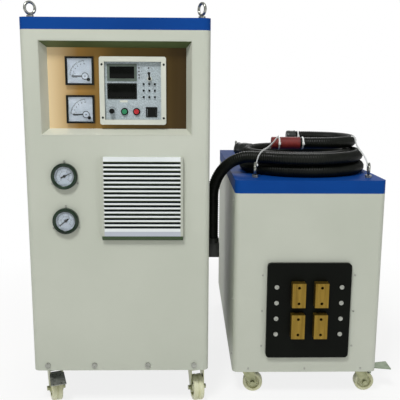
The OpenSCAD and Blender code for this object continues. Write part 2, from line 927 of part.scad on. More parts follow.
module lower_meter_pointer() color("#1b1b1b") {
    meter_pointer(meter_zs[1]);
}

module upper_gauge_pointer() color("#1b1b1b") {
    gauge_pointer(0);
}

module lower_gauge_pointer() color("#1b1b1b") {
    gauge_pointer(1);
}

// Centre of a thing on the controller's face
function on_face(share) = [ctl_mid[0] + share[0] * ctl_w, ctl_mid[1] + share[1] * ctl_h];

// Panes of the meters, the gauges and the two displays
module instrument_windows() color("#9fb2b0") {
    pane = meter_size - 2 * meter_rim + 2 * window_lap - 2 * clear;
    frame = 2 * display_rim + 2 * clear;
    place() {
        for (z = meter_zs)
            facing([meter_x, z], meter_front + window_in, window_t) square(pane, center = true);
        for (z = gauge_zs)
            translate([gauge_x, window_in - gauge_proud, z])
                along_y(gauge_d / 2 * gauge_rim_share + window_lap - clear, window_t);
        for (d = display_shares)
            facing(on_face(d), face_y - window_t, window_t)
                square([d[2] * ctl_w - frame, d[3] * ctl_h - frame], center = true);
    }
}

// Upright pivot axis of the rocker, in the middle of the face and its frame
module rocker_axis() {
    at = on_face(rocker_share);
    translate([at[0], face_y + (ctl_face_t - rocker_rim) / 2, at[1]]) children();
}

// Cylinder set into the face: its front at y
module face_pin(share, y, r, l) {
    at = on_face(share);
    translate([at[0], y, at[1]]) along_y(r, l);
}

// Bezel, face with its frames and bushings, and the housing behind
module controller() color("#d3d6ca") {
    opening = [rocker_size[0] - 2 * rocker_rim, rocker_size[1] - 2 * rocker_rim];
    deep = ctl_face_t + 2 * over;
    place() {
        facing(ctl_mid, recess_depth - ctl_proud, ctl_proud) difference() {
            round_plate(ctl_w, ctl_h, ctl_round);
            square([face_w, face_h], center = true);
        }
        difference() {
            union() {
                facing(ctl_mid, face_y, ctl_face_t)
                    square([face_w - 2 * clear, face_h - 2 * clear], center = true);
                for (d = display_shares) facing(on_face(d), face_y - display_proud, display_proud)
                    difference() {
                        square([d[2] * ctl_w, d[3] * ctl_h], center = true);
                        square([
                            d[2] * ctl_w - 2 * display_rim, d[3] * ctl_h - 2 * display_rim
                        ], center = true);
                    }
                for (s = lamp_shares) face_pin(s, face_y - lamp_proud, lamp_r, lamp_proud);
                for (x = key_x_shares, z = key_z_shares)
                    face_pin([x, z], face_y - lamp_proud, key_r, lamp_proud);
                for (s = [start_share, stop_share])
                    face_pin(s, face_y - button_ring_l, button_ring_r, button_ring_l);
                face_pin(toggle_share, face_y - bushing_l, bushing_r, bushing_l);
                facing(on_face(rocker_share), face_y - rocker_rim, rocker_rim)
                    square(rocker_size, center = true);
            }
            for (s = [start_share, stop_share])
                face_pin(s, face_y - button_ring_l - over, button_r + clear, button_ring_l + deep);
            face_pin(knob_share, face_y - over, knob_shaft_r + run_fit, deep);
            face_pin(toggle_share, face_y - bushing_l - over, bushing_bore_r, bushing_l + deep);
            facing(on_face(rocker_share), face_y - rocker_rim - over, rocker_rim + deep)
                square(opening, center = true);
            rocker_axis() cylinder(
                r = rocker_pin_r + run_fit, h = opening[1] + 2 * rocker_pin_l + clear, center = true
            );
        }
        difference() {
            facing(ctl_mid, recess_depth, ctl_box_l)
                square([face_w + ctl_wall, face_h + ctl_wall], center = true);
            facing(ctl_mid, recess_depth - over, ctl_box_l + over - ctl_wall)
                square([face_w - ctl_wall, face_h - ctl_wall], center = true);
        }
    }
}

// Toggle lever with its ball and tip, tilted up
module mode_toggle() color("#1d1f1c") {
    at = on_face(toggle_share);
    place() translate([at[0], face_y - bushing_l / 2, at[1]]) rotate([-toggle_angle, 0, 0]) {
        sphere(toggle_ball_r);
        rotate([90, 0, 0]) cylinder(r = toggle_lever_r, h = toggle_lever_l);
        translate([0, toggle_tip_l - toggle_lever_l, 0]) rotate([90, 0, 0])
            cylinder(r1 = toggle_lever_r, r2 = toggle_tip_r, h = toggle_tip_l);
    }
}

module output_knob() color("#1d1f1c") {
    behind = face_y + ctl_face_t + clear;
    place() {
        face_pin(knob_share, face_y - clear - knob_l, knob_r, knob_l);
        face_pin(knob_share, face_y - knob_l / 2, knob_shaft_r, behind + knob_clip_t - face_y + knob_l / 2);
        face_pin(knob_share, behind, knob_clip_r, knob_clip_t);
    }
}

// Push button with its retaining flange behind the face
module push_button(share) {
    behind = face_y + ctl_face_t + clear;
    place() {
        face_pin(share, face_y - button_proud, button_r, behind + button_flange_t - face_y + button_proud);
        face_pin(share, behind, button_flange_r, button_flange_t);
    }
}

module start_button() color("#2f8f4e") {
    push_button(start_share);
}

module stop_button() color("#c22f2a") {
    push_button(stop_share);
}

module power_rocker() color("#1d1f1c") {
    half = rocker_size[0] / 2 - rocker_rim - rocker_play;
    high = rocker_size[1] - 2 * rocker_rim - 2 * clear;
    place() rocker_axis() {
        rotate([0, 0, rocker_angle]) linear_extrude(high, center = true) polygon([
            [-half, -rocker_half_t], [0, rocker_dish - rocker_half_t], [half, -rocker_half_t],
            [half, rocker_half_t], [-half, rocker_half_t]
        ]);
        cylinder(r = rocker_pin_r, h = high + 2 * clear + 2 * rocker_pin_l, center = true);
    }
}

// Louvred cover over the fan's opening
module vent_grille() color("#b7bbad") {
    place() translate([vent_x, -vent_proud, vent_z]) difference() {
        cube([vent_w, vent_proud, vent_h]);
        translate([vent_wall, vent_front_t, vent_wall])
            cube([vent_w - 2 * vent_wall, vent_proud, vent_h - 2 * vent_wall]);
        for (i = [0 : vent_slots - 1])
            translate([vent_w / 2, vent_front_t / 2, vent_h - vent_head - i * vent_pitch])
                rotate([-vent_slot_angle, 0, 0])
                    cube([vent_w - 2 * vent_side, 3 * vent_front_t, vent_slot_h], center = true);
        translate([-over, 0, 0]) rotate([45, 0, 0])
            translate([0, -vent_chamfer / 2, -vent_chamfer / 2])
                cube([vent_w + 2 * over, vent_chamfer, vent_chamfer]);
    }
}

// Square fan frame with its ring, spokes, motor and shaft
module vent_fan_frame() color("#3a3d3a") {
    place() translate([vent_mid[0], 0, vent_mid[1]]) {
        difference() {
            facing([0, 0], sheet, fan_depth) square(fan_size, center = true);
            translate([0, sheet - over, 0]) along_y(fan_bore_r, fan_depth + 2 * over);
        }
        for (a = [0 : 90 : 270]) rotate([0, a, 0])
            translate([fan_motor_r - fan_spoke, sheet + fan_depth - fan_spoke, -fan_spoke / 2])
                cube([fan_bore_r - fan_motor_r + 3 / 2 * fan_spoke, fan_spoke, fan_spoke]);
        translate([0, fan_motor_y, 0]) along_y(fan_motor_r, fan_motor_l);
        translate([0, fan_motor_y - clear - fan_hub_l, 0])
            along_y(fan_shaft_r, fan_hub_l + clear + fan_motor_l / 2);
    }
}

// Fan rotor: hub with slanted blades
module vent_fan_rotor() color("#4a4e4a") {
    place() translate([vent_mid[0], fan_motor_y - clear - fan_hub_l, vent_mid[1]]) difference() {
        union() {
            along_y(fan_hub_r, fan_hub_l);
            for (i = [0 : fan_blades - 1])
                rotate([0, i * 360 / fan_blades, 0]) translate([0, fan_hub_l / 2, 0])
                    rotate([fan_pitch_angle, 0, 0])
                        translate([fan_root_r, -fan_blade_t / 2, -fan_chord / 2])
                            cube([fan_tip_r - fan_root_r, fan_blade_t, fan_chord]);
        }
        translate([0, -over, 0]) along_y(fan_shaft_r + run_fit, fan_hub_l + 2 * over);
    }
}

// Cooling plate with its modules and busbar, and the capacitor bank behind it
module inverter_stack() color("#8f9698") {
    floor_z = pu_z + tray_t;
    place() translate([cold_x, 0, floor_z]) {
        translate([0, cold_y, 0]) cube(cold_size);
        for (i = [0 : module_rows - 1], side = [0, 1])
            translate([
                module_size[0] / 2 + side * (cold_size[0] - 2 * module_size[0]),
                cold_y - module_size[1], module_rise + i * module_pitch
            ]) cube(module_size);
        translate([module_size[0] * 3 / 2, cold_y - module_size[1], module_rise])
            cube([cold_size[0] - 3 * module_size[0], bus_t, (module_rows - 1) * module_pitch + module_size[2]]);
        for (i = [0 : cap_count - 1])
            translate([cap_r + i * cap_pitch, cap_y, 0]) cylinder(r = cap_r, h = cap_l);
        translate([0, cap_y - cap_r, cap_l])
            cube([2 * cap_r + (cap_count - 1) * cap_pitch, 2 * cap_r, bus_t]);
    }
}

// Two cooling pipes on saddles, each with a small pipe up to a gauge's stem
module water_manifold() color("#9a6a3a") {
    z = pu_z + tray_t + pipe_rise;
    place() for (i = [0, 1]) {
        stem_end = sheet + gauge_body_l + gauge_stem_ls[i];
        y = stem_end + fitting / 2;
        translate([pipe_x, y, z]) along_x(pipe_r, pipe_l);
        for (x = saddle_xs)
            translate([x, y - pipe_r, pu_z + tray_t]) cube([saddle_t, 2 * pipe_r, pipe_rise]);
        translate([gauge_x, y, z]) cylinder(r = gauge_tube_r, h = gauge_zs[i] - z);
        translate([gauge_x - fitting / 2, stem_end, gauge_zs[i] - fitting / 2]) cube(fitting);
    }
}

// Fork of the power cabinet's caster i
module pu_fork(i) {
    pin = i == 0 ? [pu_trail + pu_pedal_ahead, pu_wheel_d + pu_pedal_above] : [0, 0];
    color("#8f9a6c") at_swivel(pu_swivels[i], pu_turns[i])
        fork(pu_wheel_d, pu_wheel_w, pu_trail, pu_caster_h, pu_crown_r, pin);
}

// Wheel of the power cabinet's caster i
module pu_wheel(i) {
    color("#d9d9b4") at_swivel(pu_swivels[i], pu_turns[i]) wheel(pu_wheel_d, pu_wheel_w, pu_trail);
}

module pu_fork_front_left() pu_fork(0);
module pu_fork_front_right() pu_fork(1);
module pu_fork_rear_left() pu_fork(2);
module pu_fork_rear_right() pu_fork(3);
module pu_wheel_front_left() pu_wheel(0);
module pu_wheel_front_right() pu_wheel(1);
module pu_wheel_rear_left() pu_wheel(2);
module pu_wheel_rear_right() pu_wheel(3);

// Pedal of the front left caster, pressed down
module pu_brake_pedal() color("#c9cbc4") {
    at_swivel(pu_swivels[0], pu_turns[0])
        translate([0, -pu_trail - pu_pedal_ahead, pu_wheel_d + pu_pedal_above])
            pedal(
                pu_wheel_w, pu_pedal_crank, pu_pedal_l, pu_pedal_w, pu_pedal_angle,
                pu_pedal_ahead, pu_pedal_above, pu_wheel_d
            );
}

// Fork of the station's caster i
module hs_fork(i) {
    pin = i == 1 ? [hs_trail + hs_pedal_ahead, hs_wheel_d + hs_pedal_above] : [0, 0];
    color("#8f9a6c") at_swivel(hs_swivels[i], hs_turns[i])
        fork(hs_wheel_d, hs_wheel_w, hs_trail, hs_caster_h, hs_crown_r, pin);
}

// Wheel of the station's caster i
module hs_wheel(i) {
    color("#d9d9b4") at_swivel(hs_swivels[i], hs_turns[i]) wheel(hs_wheel_d, hs_wheel_w, hs_trail);
}

module hs_fork_front_left() hs_fork(0);
module hs_fork_front_right() hs_fork(1);
module hs_fork_rear_left() hs_fork(2);
module hs_fork_rear_right() hs_fork(3);
module hs_wheel_front_left() hs_wheel(0);
module hs_wheel_front_right() hs_wheel(1);
module hs_wheel_rear_left() hs_wheel(2);
module hs_wheel_rear_right() hs_wheel(3);

// Pedal of the front right caster, raised
module hs_brake_pedal() color("#a9ada0") {
    at_swivel(hs_swivels[1], hs_turns[1])
        translate([0, -hs_trail - hs_pedal_ahead, hs_wheel_d + hs_pedal_above])
            rotate([-pedal_throw_angle, 0, 0])
                pedal(
                    hs_wheel_w, hs_pedal_crank, hs_pedal_l, hs_pedal_w, hs_pedal_angle,
                    hs_pedal_ahead, hs_pedal_above, hs_wheel_d
                );
}

// Screw with its head proud of a front face and its shank behind it
module screw(size) {
    translate([0, -size[1], 0]) along_y(size[0], size[1]);
    along_y(shank_r, shank_l);
}

// Places of the station's screws: along its foot, beside the board, on the board, on the side
module foot_screws_at() {
    for (x = [hs_foot_in, hs_w / 2, hs_w - hs_foot_in])
        translate([hs_x + x, hs_y, hs_z + hs_foot_rise]) children();
}

module edge_screws_at() {
    for (side = [-1, 1], row = [-1, 0, 1])
        translate([
            board_mid[0] + side * edge_screw_w / 2, hs_y,
            board_mid[1] - edge_screw_drop + row * edge_screw_pitch
        ]) children();
}

module board_screws_at() {
    for (side = [-1, 1], row = [-3 : 2 : 3])
        translate([
            board_mid[0] + side * board_screw_w / 2, board_y,
            board_mid[1] + board_screw_rise + row * board_screw_pitch / 2
        ]) children();
}

module side_screws_at() {
    for (share = side_screw_shares)
        translate([hs_x, hs_y + wrap + side_screw_in, hs_z + hs_panel_h * share])
            rotate([0, 0, -90]) children();
}

module panel_screws() color("#9a9c93") {
    place() {
        pu_foot_screws_at() screw(cap_screw);
        for (z = gauge_zs) gauge_screws_at(z) screw(small_screw);
        foot_screws_at() screw(small_screw);
        edge_screws_at() screw(small_screw);
        board_screws_at() screw(board_screw);
        side_screws_at() screw(small_screw);
    }
}

module lifting_eyes() color("#c7cacb") {
    ring_r = (eye_d - eye_wire) / 2;
    place() for (e = concat(pu_eyes, hs_eyes)) translate([e[0], e[1], e[2]]) rotate([0, 0, e[3]]) {
        cylinder(r = eye_collar_r, h = eye_collar_h);
        translate([0, 0, eye_collar_h + eye_d / 2 - eye_sink]) rotate([90, 0, 0])
            rotate_extrude() translate([ring_r, 0]) circle(eye_wire / 2);
        translate([0, 0, -sheet - nut_h]) cylinder(r = eye_shank_r, h = sheet + nut_h + eye_collar_h / 2);
        translate([0, 0, -sheet - nut_h]) cylinder(r = nut_r, h = nut_h, $fn = 6);
    }
}

module hs_base() color("#b9bdae") {
    place() {
        difference() {
            translate([hs_x, hs_y, hs_z]) tray(hs_w, hs_d, hs_swivel_in[1], hs_rail_w, hs_rail_h);
            foot_screws_at() along_y(shank_r + clear, shank_l + over);
        }
        for (s = hs_swivels) translate([s[0], s[1], 0]) caster_seat(hs_plate, hs_caster_h);
    }
}

// Middles of the four output blocks, on the board's front face
module blocks_at() {
    for (side = [-1, 1], row = [-1, 1])
        translate([
            board_mid[0] + side * block_pitch[0] / 2, board_y,
            board_mid[1] + block_rise + row * block_pitch[1] / 2
        ]) children();
}

// Front panel with the openings behind the output blocks
module hs_front_panel() color("#c3c7b9") {
    cut = sheet + 2 * over;
    place() difference() {
        translate([hs_x, hs_y, hs_z]) wrapped_panel(hs_w, hs_panel_h);
        blocks_at() translate([0, board_t - over, 0]) along_y(stub_bus_r + sheet, cut);
        foot_screws_at() translate([0, -over, 0]) along_y(shank_r + clear, cut);
        edge_screws_at() translate([0, -over, 0]) along_y(shank_r + clear, cut);
    }
}

module hs_side_panels() color("#c3c7b9") {
    place() difference() {
        translate([hs_x, hs_y, hs_z]) side_pair(hs_w, hs_d, hs_panel_h);
        side_screws_at() translate([0, -over, 0]) along_y(shank_r + clear, sheet + 2 * over);
    }
}

// Rear panel with the two cooling water tails
module hs_rear_panel() color("#bcc0b2") {
    panel_w = hs_w - 2 * return_w - 2 * seam;
    back = hs_y + hs_d;
    place() {
        difference() {
            translate([hs_x + return_w + seam, back - sheet, hs_z + tray_t])
                cube([panel_w, sheet, hs_panel_h - tray_t]);
            for (s = tail_shares)
                translate([hs_x + hs_w * s[0], back - sheet - over, hs_z + hs_panel_h * s[1]])
                    along_y(tail_r + clear, sheet + 2 * over);
        }
        for (s = tail_shares)
            translate([hs_x + hs_w * s[0], back, hs_z + hs_panel_h * s[1]]) difference() {
                union() {
                    translate([0, -tail_in, 0]) along_y(tail_r, tail_in + water_tail_l);
                    rotate([-90, 0, 0]) cylinder(r = tail_nut_r, h = tail_nut_h, $fn = 6);
                }
                translate([0, -tail_in - over, 0]) along_y(tail_bore_r, tail_in + water_tail_l + 2 * over);
            }
    }
}

module hs_lid() color("#1c4f9e") {
    place() difference() {
        translate([hs_x, hs_y, hs_top]) lid(hs_w, hs_d, hs_lid_h);
        eye_holes(hs_eyes);
    }
}

module terminal_board() color("#22241f") {
    place() difference() {
        facing(board_mid, board_y, board_t) round_plate(board_w, board_h, board_round);
        blocks_at() translate([0, -over, 0]) along_y(stub_bus_r + clear, board_t + 2 * over);
        board_screws_at() translate([0, -over, 0]) along_y(shank_r + clear, board_t + 2 * over);
    }
}

// Four bored output blocks with their stubs through the board
module output_blocks() color("#b48a2f") {
    place() blocks_at() difference() {
        union() {
            translate([-block_w / 2, -block_t, -block_h / 2]) cube([block_w, block_t, block_h]);
            along_y(stub_bus_r, stub_bus_l + board_t);
        }
        for (z = [-1, 1])
            translate([0, -block_t - over, z * block_hole_pitch / 2])
                along_y(block_hole_d / 2, block_t + 2 * over);
    }
}

// Iron core with two windings, and the leads to the output blocks
module matching_transformer() color("#7c4a25") {
    floor_z = hs_z + tray_t;
    core_y = hs_y + core_back;
    leg_x = (core_w - core_leg) / 2;
    front_y = core_y - coil_play - coil_wall;
    coil_w = core_leg + 2 * coil_play + 2 * coil_wall;
    coil_d = core_t + 2 * coil_play + 2 * coil_wall;
    coil_z = (core_h - coil_h) / 2;
    lead_y = hs_y + stub_bus_l;
    lead_z = board_mid[1] + block_rise - block_pitch[1] / 2 - lead_w / 2 - floor_z;
    place() translate([board_mid[0], 0, floor_z]) {
        difference() {
            translate([-core_w / 2, core_y, 0]) cube([core_w, core_t, core_h]);
            translate([core_leg - core_w / 2, core_y - over, core_leg])
                cube([core_w - 2 * core_leg, core_t + 2 * over, core_h - 2 * core_leg]);
        }
        for (side = [-1, 1]) {
            translate([side * leg_x - coil_w / 2, front_y, coil_z]) difference() {
                cube([coil_w, coil_d, coil_h]);
                translate([coil_wall, coil_wall, -over])
                    cube([coil_w - 2 * coil_wall, coil_d - 2 * coil_wall, coil_h + 2 * over]);
            }
            translate([side * block_pitch[0] / 2 - lead_w / 2, lead_y, lead_z])
                cube([lead_w, lead_t, block_pitch[1] + lead_w]);
            translate([side * block_pitch[0] / 2 - lead_w / 2, lead_y + lead_t / 2, coil_z])
                cube([lead_w, front_y - lead_y, coil_h]);
        }
    }
}

// Two capacitor tanks joined by a strap
module resonant_capacitors() color("#5d6468") {
    place() translate([hs_x + hs_w / 2, hs_y + tank_back, hs_z + tray_t]) {
        for (side = [-1, 1])
            translate([side * (tank_size[0] + tank_gap) / 2 - tank_size[0] / 2, 0, 0]) cube(tank_size);
        translate([-tank_gap, tank_size[1] / 2 - tank_gap / 2, tank_size[2]])
            cube([2 * tank_gap, tank_gap, strap_t]);
    }
}

// Point and heading after length s of a run with its bend radius, or 0 where straight
function run_point(p, d, b, s, bend) =
    bend == 0 ? p + d * s
    : let (a = s / bend * 180 / PI) p + cross(b, d) * bend * (1 - cos(a)) + d * bend * sin(a);
function run_heading(d, b, s, bend) =
    bend == 0 ? d : let (a = s / bend * 180 / PI) d * cos(a) + cross(b, d) * sin(a);

// The same along a chain of runs, each [length, bend]; b is square to the route's plane
function on_route(runs, p, d, b, s, i = 0) =
    i == len(runs) - 1 || s <= runs[i][0]
    ? [run_point(p, d, b, s, runs[i][1]), run_heading(d, b, s, runs[i][1])]
    : on_route(
        runs, run_point(p, d, b, runs[i][0], runs[i][1]),
        run_heading(d, b, runs[i][0], runs[i][1]), b, s - runs[i][0], i + 1
    );
function route_length(runs) = [for (r = runs) r[0]] * [for (r = runs) 1];

// Ring of k points round a place, in the plane across its heading
function ring(at, b, r, k) = [
    for (j = [0 : k - 1]) let (a = 360 * j / k) at[0] + r * (cos(a) * b + sin(a) * cross(b, at[1]))
];

// Triangles over a stack of rings, and over their ends
function skin(rings, k, first, inwards) = [
    for (i = [0 : rings - 2], j = [0 : k - 1], half = [0, 1])
    let (a = first + i * k + j, b = first + i * k + (j + 1) % k)
    let (t = half == 0 ? [a, b, b + k] : [a, b + k, a + k])
    inwards ? [t[2], t[1], t[0]] : t
];
function disc(k, first, flip) = [
    for (j = [1 : k - 2]) flip ? [first, first + j + 1, first + j] : [first, first + j, first + j + 1]
];
function washer(k, outer, inner, flip) = [
    for (j = [0 : k - 1], half = [0, 1])
    let (n = (j + 1) % k)
    let (t = half == 0 ? [outer + j, inner + j, inner + n] : [outer + j, inner + n, outer + n])
    flip ? [t[2], t[1], t[0]] : t
];

// Ribbed hose with its bore along a flat route
module ribbed_hose(runs, p, d, b) {
    total = route_length(runs);
    ribs = floor(total / rib_pitch);
    outer = [
        for (i = [0 : 2 * ribs - 1])
        let (at = on_route(runs, p, d, b, total * i / (2 * ribs - 1)))
        each ring(at, b, hose_d / 2 - (i % 2) * rib_deep, rib_sides)
    ];
    inner = [
        for (i = [0 : bore_rings - 1])
        let (at = on_route(runs, p, d, b, total * i / (bore_rings - 1)))
        each ring(at, b, hose_bore / 2, rib_sides)
    ];
    n = len(outer);
    polyhedron(concat(outer, inner), concat(
        skin(2 * ribs, rib_sides, 0, false), skin(bore_rings, rib_sides, n, true),
        washer(rib_sides, 0, n, false),
        washer(rib_sides, n - rib_sides, n + len(inner) - rib_sides, true)
    ));
}

// Coil's middle line at angle t past its start: in on the top layer, back out on the low one
function coil_radius(t) =
    let (inwards = 360 * coil_loops, r = coil_r - coil_pitch * coil_loops, u = t - inwards)
    t <= inwards ? coil_r - coil_pitch * t / 360
    : u <= 180 ? r - coil_pitch / 360 * (u - u * u / 180)
    : r + coil_pitch * (u - 180) / 360;
function coil_height(t) =
    let (u = t - 360 * coil_loops)
    u <= 0 ? top_z : u >= 180 ? low_z : (top_z + low_z) / 2 + (top_z - low_z) / 2 * cos(u);
function coil_point(t) =
    let (a = coil_start + t, r = coil_radius(t))
    [coil_at[0] + r * cos(a), coil_at[1] + r * sin(a), coil_height(t)];

// Headings and ends of the coil, with its straight ends one hose diameter long
start_dir = [-sin(coil_start), cos(coil_start), 0];
end_dir = [-sin(coil_end), cos(coil_end), 0];
coil_steps = round(loop_rings * coil_turns);
coil_line = concat(
    [coil_point(0) - start_dir * hose_d],
    [for (i = [0 : coil_steps]) coil_point(360 * coil_turns * i / coil_steps)],
    [coil_point(360 * coil_turns) + end_dir * hose_d]
);
coil_last = len(coil_line) - 1;

// Least gap of the coil to itself, between points at least half a loop apart
coil_least_gap = min([
    for (i = [0 : coil_last - loop_rings / 2], j = [i + loop_rings / 2 : coil_last])
    norm(coil_line[i] - coil_line[j])
]) - hose_d;
echo(coil_least_gap = coil_least_gap);

// Riser: up from the outlet beside the power cabinet and over the station's edge to the coil
riser_reach = riser_bend + 2 * hose_d;
riser_foot = coil_point(0) - start_dir * riser_reach;
riser_from = outlet_z + outlet_h;
riser_runs = [
    [top_z - riser_bend - riser_from, 0], [riser_bend * PI / 2, riser_bend], [hose_d, 0]
];

module hose_riser() color("#20231e") {
    place() ribbed_hose(
        riser_runs, [riser_foot[0], riser_foot[1], riser_from], [0, 0, 1],
        [-start_dir[1], start_dir[0], 0]
    );
}

module hose_coil() color("#20231e") {
    rings = [
        for (i = [0 : coil_last])
        let (step = coil_line[min(i + 1, coil_last)] - coil_line[max(i - 1, 0)])
        let (heading = i == 0 ? start_dir : i == coil_last ? end_dir : step / norm(step))
        let (across = cross([0, 0, 1], heading), up = cross(heading, across / norm(across)))
        each ring([coil_line[i], heading], up, hose_d / 2, coil_sides)
    ];
    place() polyhedron(rings, concat(
        skin(coil_last + 1, coil_sides, 0, false), disc(coil_sides, 0, true),
        disc(coil_sides, coil_last * coil_sides, false)
    ));
}

// Tail: off the coil's low layer, up by a slight bend to the height of its coupling
lift_angle = acos(1 - tail_rise / 2 / tail_bend);
lift_arc = tail_bend * lift_angle * PI / 180;
tail_runs = [
    [hose_d, 0], [lift_arc, tail_bend], [lift_arc, -tail_bend], [tail_l - hose_d - 2 * lift_arc, 0]
];
tail_b = [end_dir[1], -end_dir[0], 0];
tail_end = on_route(tail_runs, coil_line[coil_last], end_dir, tail_b, tail_l)[0];

module hose_tail() color("#20231e") {
    place() ribbed_hose(tail_runs, coil_line[coil_last], end_dir, tail_b);
}

// Jumper hose: a flat bight on the coil
jumper_runs = [[jumper_near_l, 0], [jumper_bend * PI, jumper_bend], [jumper_far_l, 0]];
far_y = jumper_y + 2 * jumper_bend;
far_x = jumper_x + jumper_near_l - jumper_far_l;

module jumper_hose() color("#20231e") {
    place() ribbed_hose(jumper_runs, [jumper_x, jumper_y, jumper_z], [1, 0, 0], [0, 0, 1]);
}

// Shrunk sleeve over the jumper's near end
module red_sleeve() color("#8e2f2a") {
    place() translate([jumper_x - sleeve_t, jumper_y, jumper_z]) difference() {
        along_x(hose_d / 2 + sleeve_t, sleeve_l);
        translate([sleeve_t, 0, 0]) along_x(hose_d / 2 + clear / 2, sleeve_l);
    }
}

// Outlet block on the power cabinet's side, coupling on the tail and cap on the jumper
module hose_fittings() color("#2a2c2a") {
    spigot_r = hose_bore / 2 - outlet_wall;
    place() {
        translate([pu_w, riser_foot[1] - outlet_w / 2, outlet_z])
            cube([riser_foot[0] - pu_w + outlet_w / 2, outlet_w, outlet_h]);
        translate([riser_foot[0], riser_foot[1], outlet_z + outlet_h / 2])
            cylinder(r = spigot_r, h = outlet_h);
        translate(tail_end) rotate([0, 0, coil_end + 90]) difference() {
            along_x(coupling_r, coupling_l);
            translate([coupling_l / 2, 0, 0]) along_x(spigot_r, coupling_l);
        }
        translate([far_x - cap_wall, far_y, jumper_z]) difference() {
            along_x(hose_d / 2 + cap_wall, cap_cover_l);
            translate([cap_wall, 0, 0]) along_x(hose_d / 2 + clear / 2, cap_cover_l);
        }
    }
}

// Tie pulled round a hose of radius r that runs along X
module tie_ring(r) {
    translate([-tie_w / 2, 0, 0]) difference() {
        along_x(r + clear + tie_t, tie_w);
        translate([-over, 0, 0]) along_x(r + clear, tie_w + 2 * over);
    }
    translate([-tie_head / 2, -r - clear - tie_t - tie_head / 2, -tie_head / 2])
        cube([tie_head, tie_head / 2 + tie_t / 2, tie_head]);
}

// Ties round the near arm and the far arm of the jumper
module cable_ties() color("#dfe3e4") {
    place() {
        translate([jumper_x + sleeve_l / 4, jumper_y, jumper_z]) tie_ring(hose_d / 2 + sleeve_t);
        translate([jumper_x + sleeve_l + tie_head, jumper_y, jumper_z]) tie_ring(hose_d / 2);
        translate([far_x + cap_cover_l + tie_head, far_y, jumper_z]) tie_ring(hose_d / 2);
    }
}

pu_base();
pu_front_panel();
pu_side_panels();
pu_rear_door();
pu_lid();
recess_surround();
instrument_plate();
instrument_cases();
upper_meter_pointer();
lower_meter_pointer();
instrument_windows();
controller();
mode_toggle();
output_knob();
start_button();
stop_button();
power_rocker();
vent_grille();
vent_fan_frame();
vent_fan_rotor();
upper_gauge_pointer();
lower_gauge_pointer();
inverter_stack();
water_manifold();
pu_fork_front_left();
pu_fork_front_right();
pu_fork_rear_left();
pu_fork_rear_right();
pu_wheel_front_left();
pu_wheel_front_right();
pu_wheel_rear_left();
pu_wheel_rear_right();
pu_brake_pedal();
panel_screws();
lifting_eyes();
hs_base();
hs_front_panel();
hs_side_panels();
hs_rear_panel();
hs_lid();
terminal_board();
output_blocks();
matching_transformer();
resonant_capacitors();
hs_fork_front_left();
hs_fork_front_right();
hs_fork_rear_left();
hs_fork_rear_right();
hs_wheel_front_left();
hs_wheel_front_right();
hs_wheel_rear_left();
hs_wheel_rear_right();
hs_brake_pedal();
hose_fittings();
hose_riser();
hose_coil();
hose_tail();
jumper_hose();
red_sleeve();
cable_ties();
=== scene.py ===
import math

import bmesh
import bpy
from mathutils import Matrix, Vector


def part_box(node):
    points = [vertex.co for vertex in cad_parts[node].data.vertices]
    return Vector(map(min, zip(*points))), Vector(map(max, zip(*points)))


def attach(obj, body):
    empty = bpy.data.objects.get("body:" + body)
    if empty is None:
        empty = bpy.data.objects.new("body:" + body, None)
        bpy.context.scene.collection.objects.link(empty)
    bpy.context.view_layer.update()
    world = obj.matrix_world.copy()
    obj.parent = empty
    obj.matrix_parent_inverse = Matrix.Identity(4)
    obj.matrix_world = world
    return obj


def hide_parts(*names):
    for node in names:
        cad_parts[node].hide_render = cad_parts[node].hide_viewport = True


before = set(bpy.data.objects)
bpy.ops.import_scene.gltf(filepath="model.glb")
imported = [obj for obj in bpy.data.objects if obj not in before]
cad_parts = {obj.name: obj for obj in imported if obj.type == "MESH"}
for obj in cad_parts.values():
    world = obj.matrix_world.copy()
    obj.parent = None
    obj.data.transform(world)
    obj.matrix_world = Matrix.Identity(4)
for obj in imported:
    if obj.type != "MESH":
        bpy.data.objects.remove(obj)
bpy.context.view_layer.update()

# Camera: eye height, square on to the cabinets' fronts, as the photograph was taken.
# Places below are written in the machine's millimetres: x from the power cabinet's left
# face, y from its front panel towards the rear, z from the floor.
MM = 0.001
MIDDLE = Vector((563.03495, 491.0, 0.0))


def at(x, y, z):
    """Place in the frame's metres of a point in the machine's millimetres."""
    return (Vector((x, y, z)) - MIDDLE) * MM


EYE = (467.03, -1750.8, 975.39)
YAW, PITCH, ROLL = 1.155, 10.403, 0.317
FOCAL, SENSOR = 55.17, 36
yaw, pitch, roll = (math.radians(angle) for angle in (YAW, PITCH, ROLL))
ahead = Vector((math.sin(yaw) * math.cos(pitch), math.cos(yaw) * math.cos(pitch), -math.sin(pitch)))
level = Vector((math.cos(yaw), -math.sin(yaw), 0))
upright = level.cross(ahead)
lens = bpy.data.cameras.new("camera")
lens.lens = FOCAL
lens.sensor_width = SENSOR
camera = bpy.data.objects.new("camera", lens)
bpy.context.scene.collection.objects.link(camera)
camera.matrix_world = Matrix.Translation(at(*EYE)) @ Matrix((
    math.cos(roll) * level + math.sin(roll) * upright,
    math.cos(roll) * upright - math.sin(roll) * level,
    -ahead,
)).transposed().to_4x4()
bpy.context.scene.camera = camera
bpy.context.scene.view_settings.view_transform = "Standard"


# Power hose: ribbed polyethylene conduit over the water-cooled leads, extruded and then
# corrugated. It rises from the outlet in the gap, turns over the lid, is wound in two
# layers on it, one inwards and the next outwards, and ends in a coupling at the rear.
HOSE_D = 38
RIB = 7.3
RIB_VALLEY = 0.925
COIL_MIDDLE = Vector((839, 309, 0))
COIL_R = 205
COIL_PITCH = 40.5
COIL_LOOPS = 1.48
COIL_START = 240
COIL_TURNS = 2 * COIL_LOOPS + 0.5
COIL_STEPS = 2500
TOP_LAYER = 761.3
LOW_LAYER = 722.3
RISER_FOOT = 470
RISER_BEND = 140
TAIL_BEND = 152
TAIL_RISE = 7
TAIL_LENGTH = 327


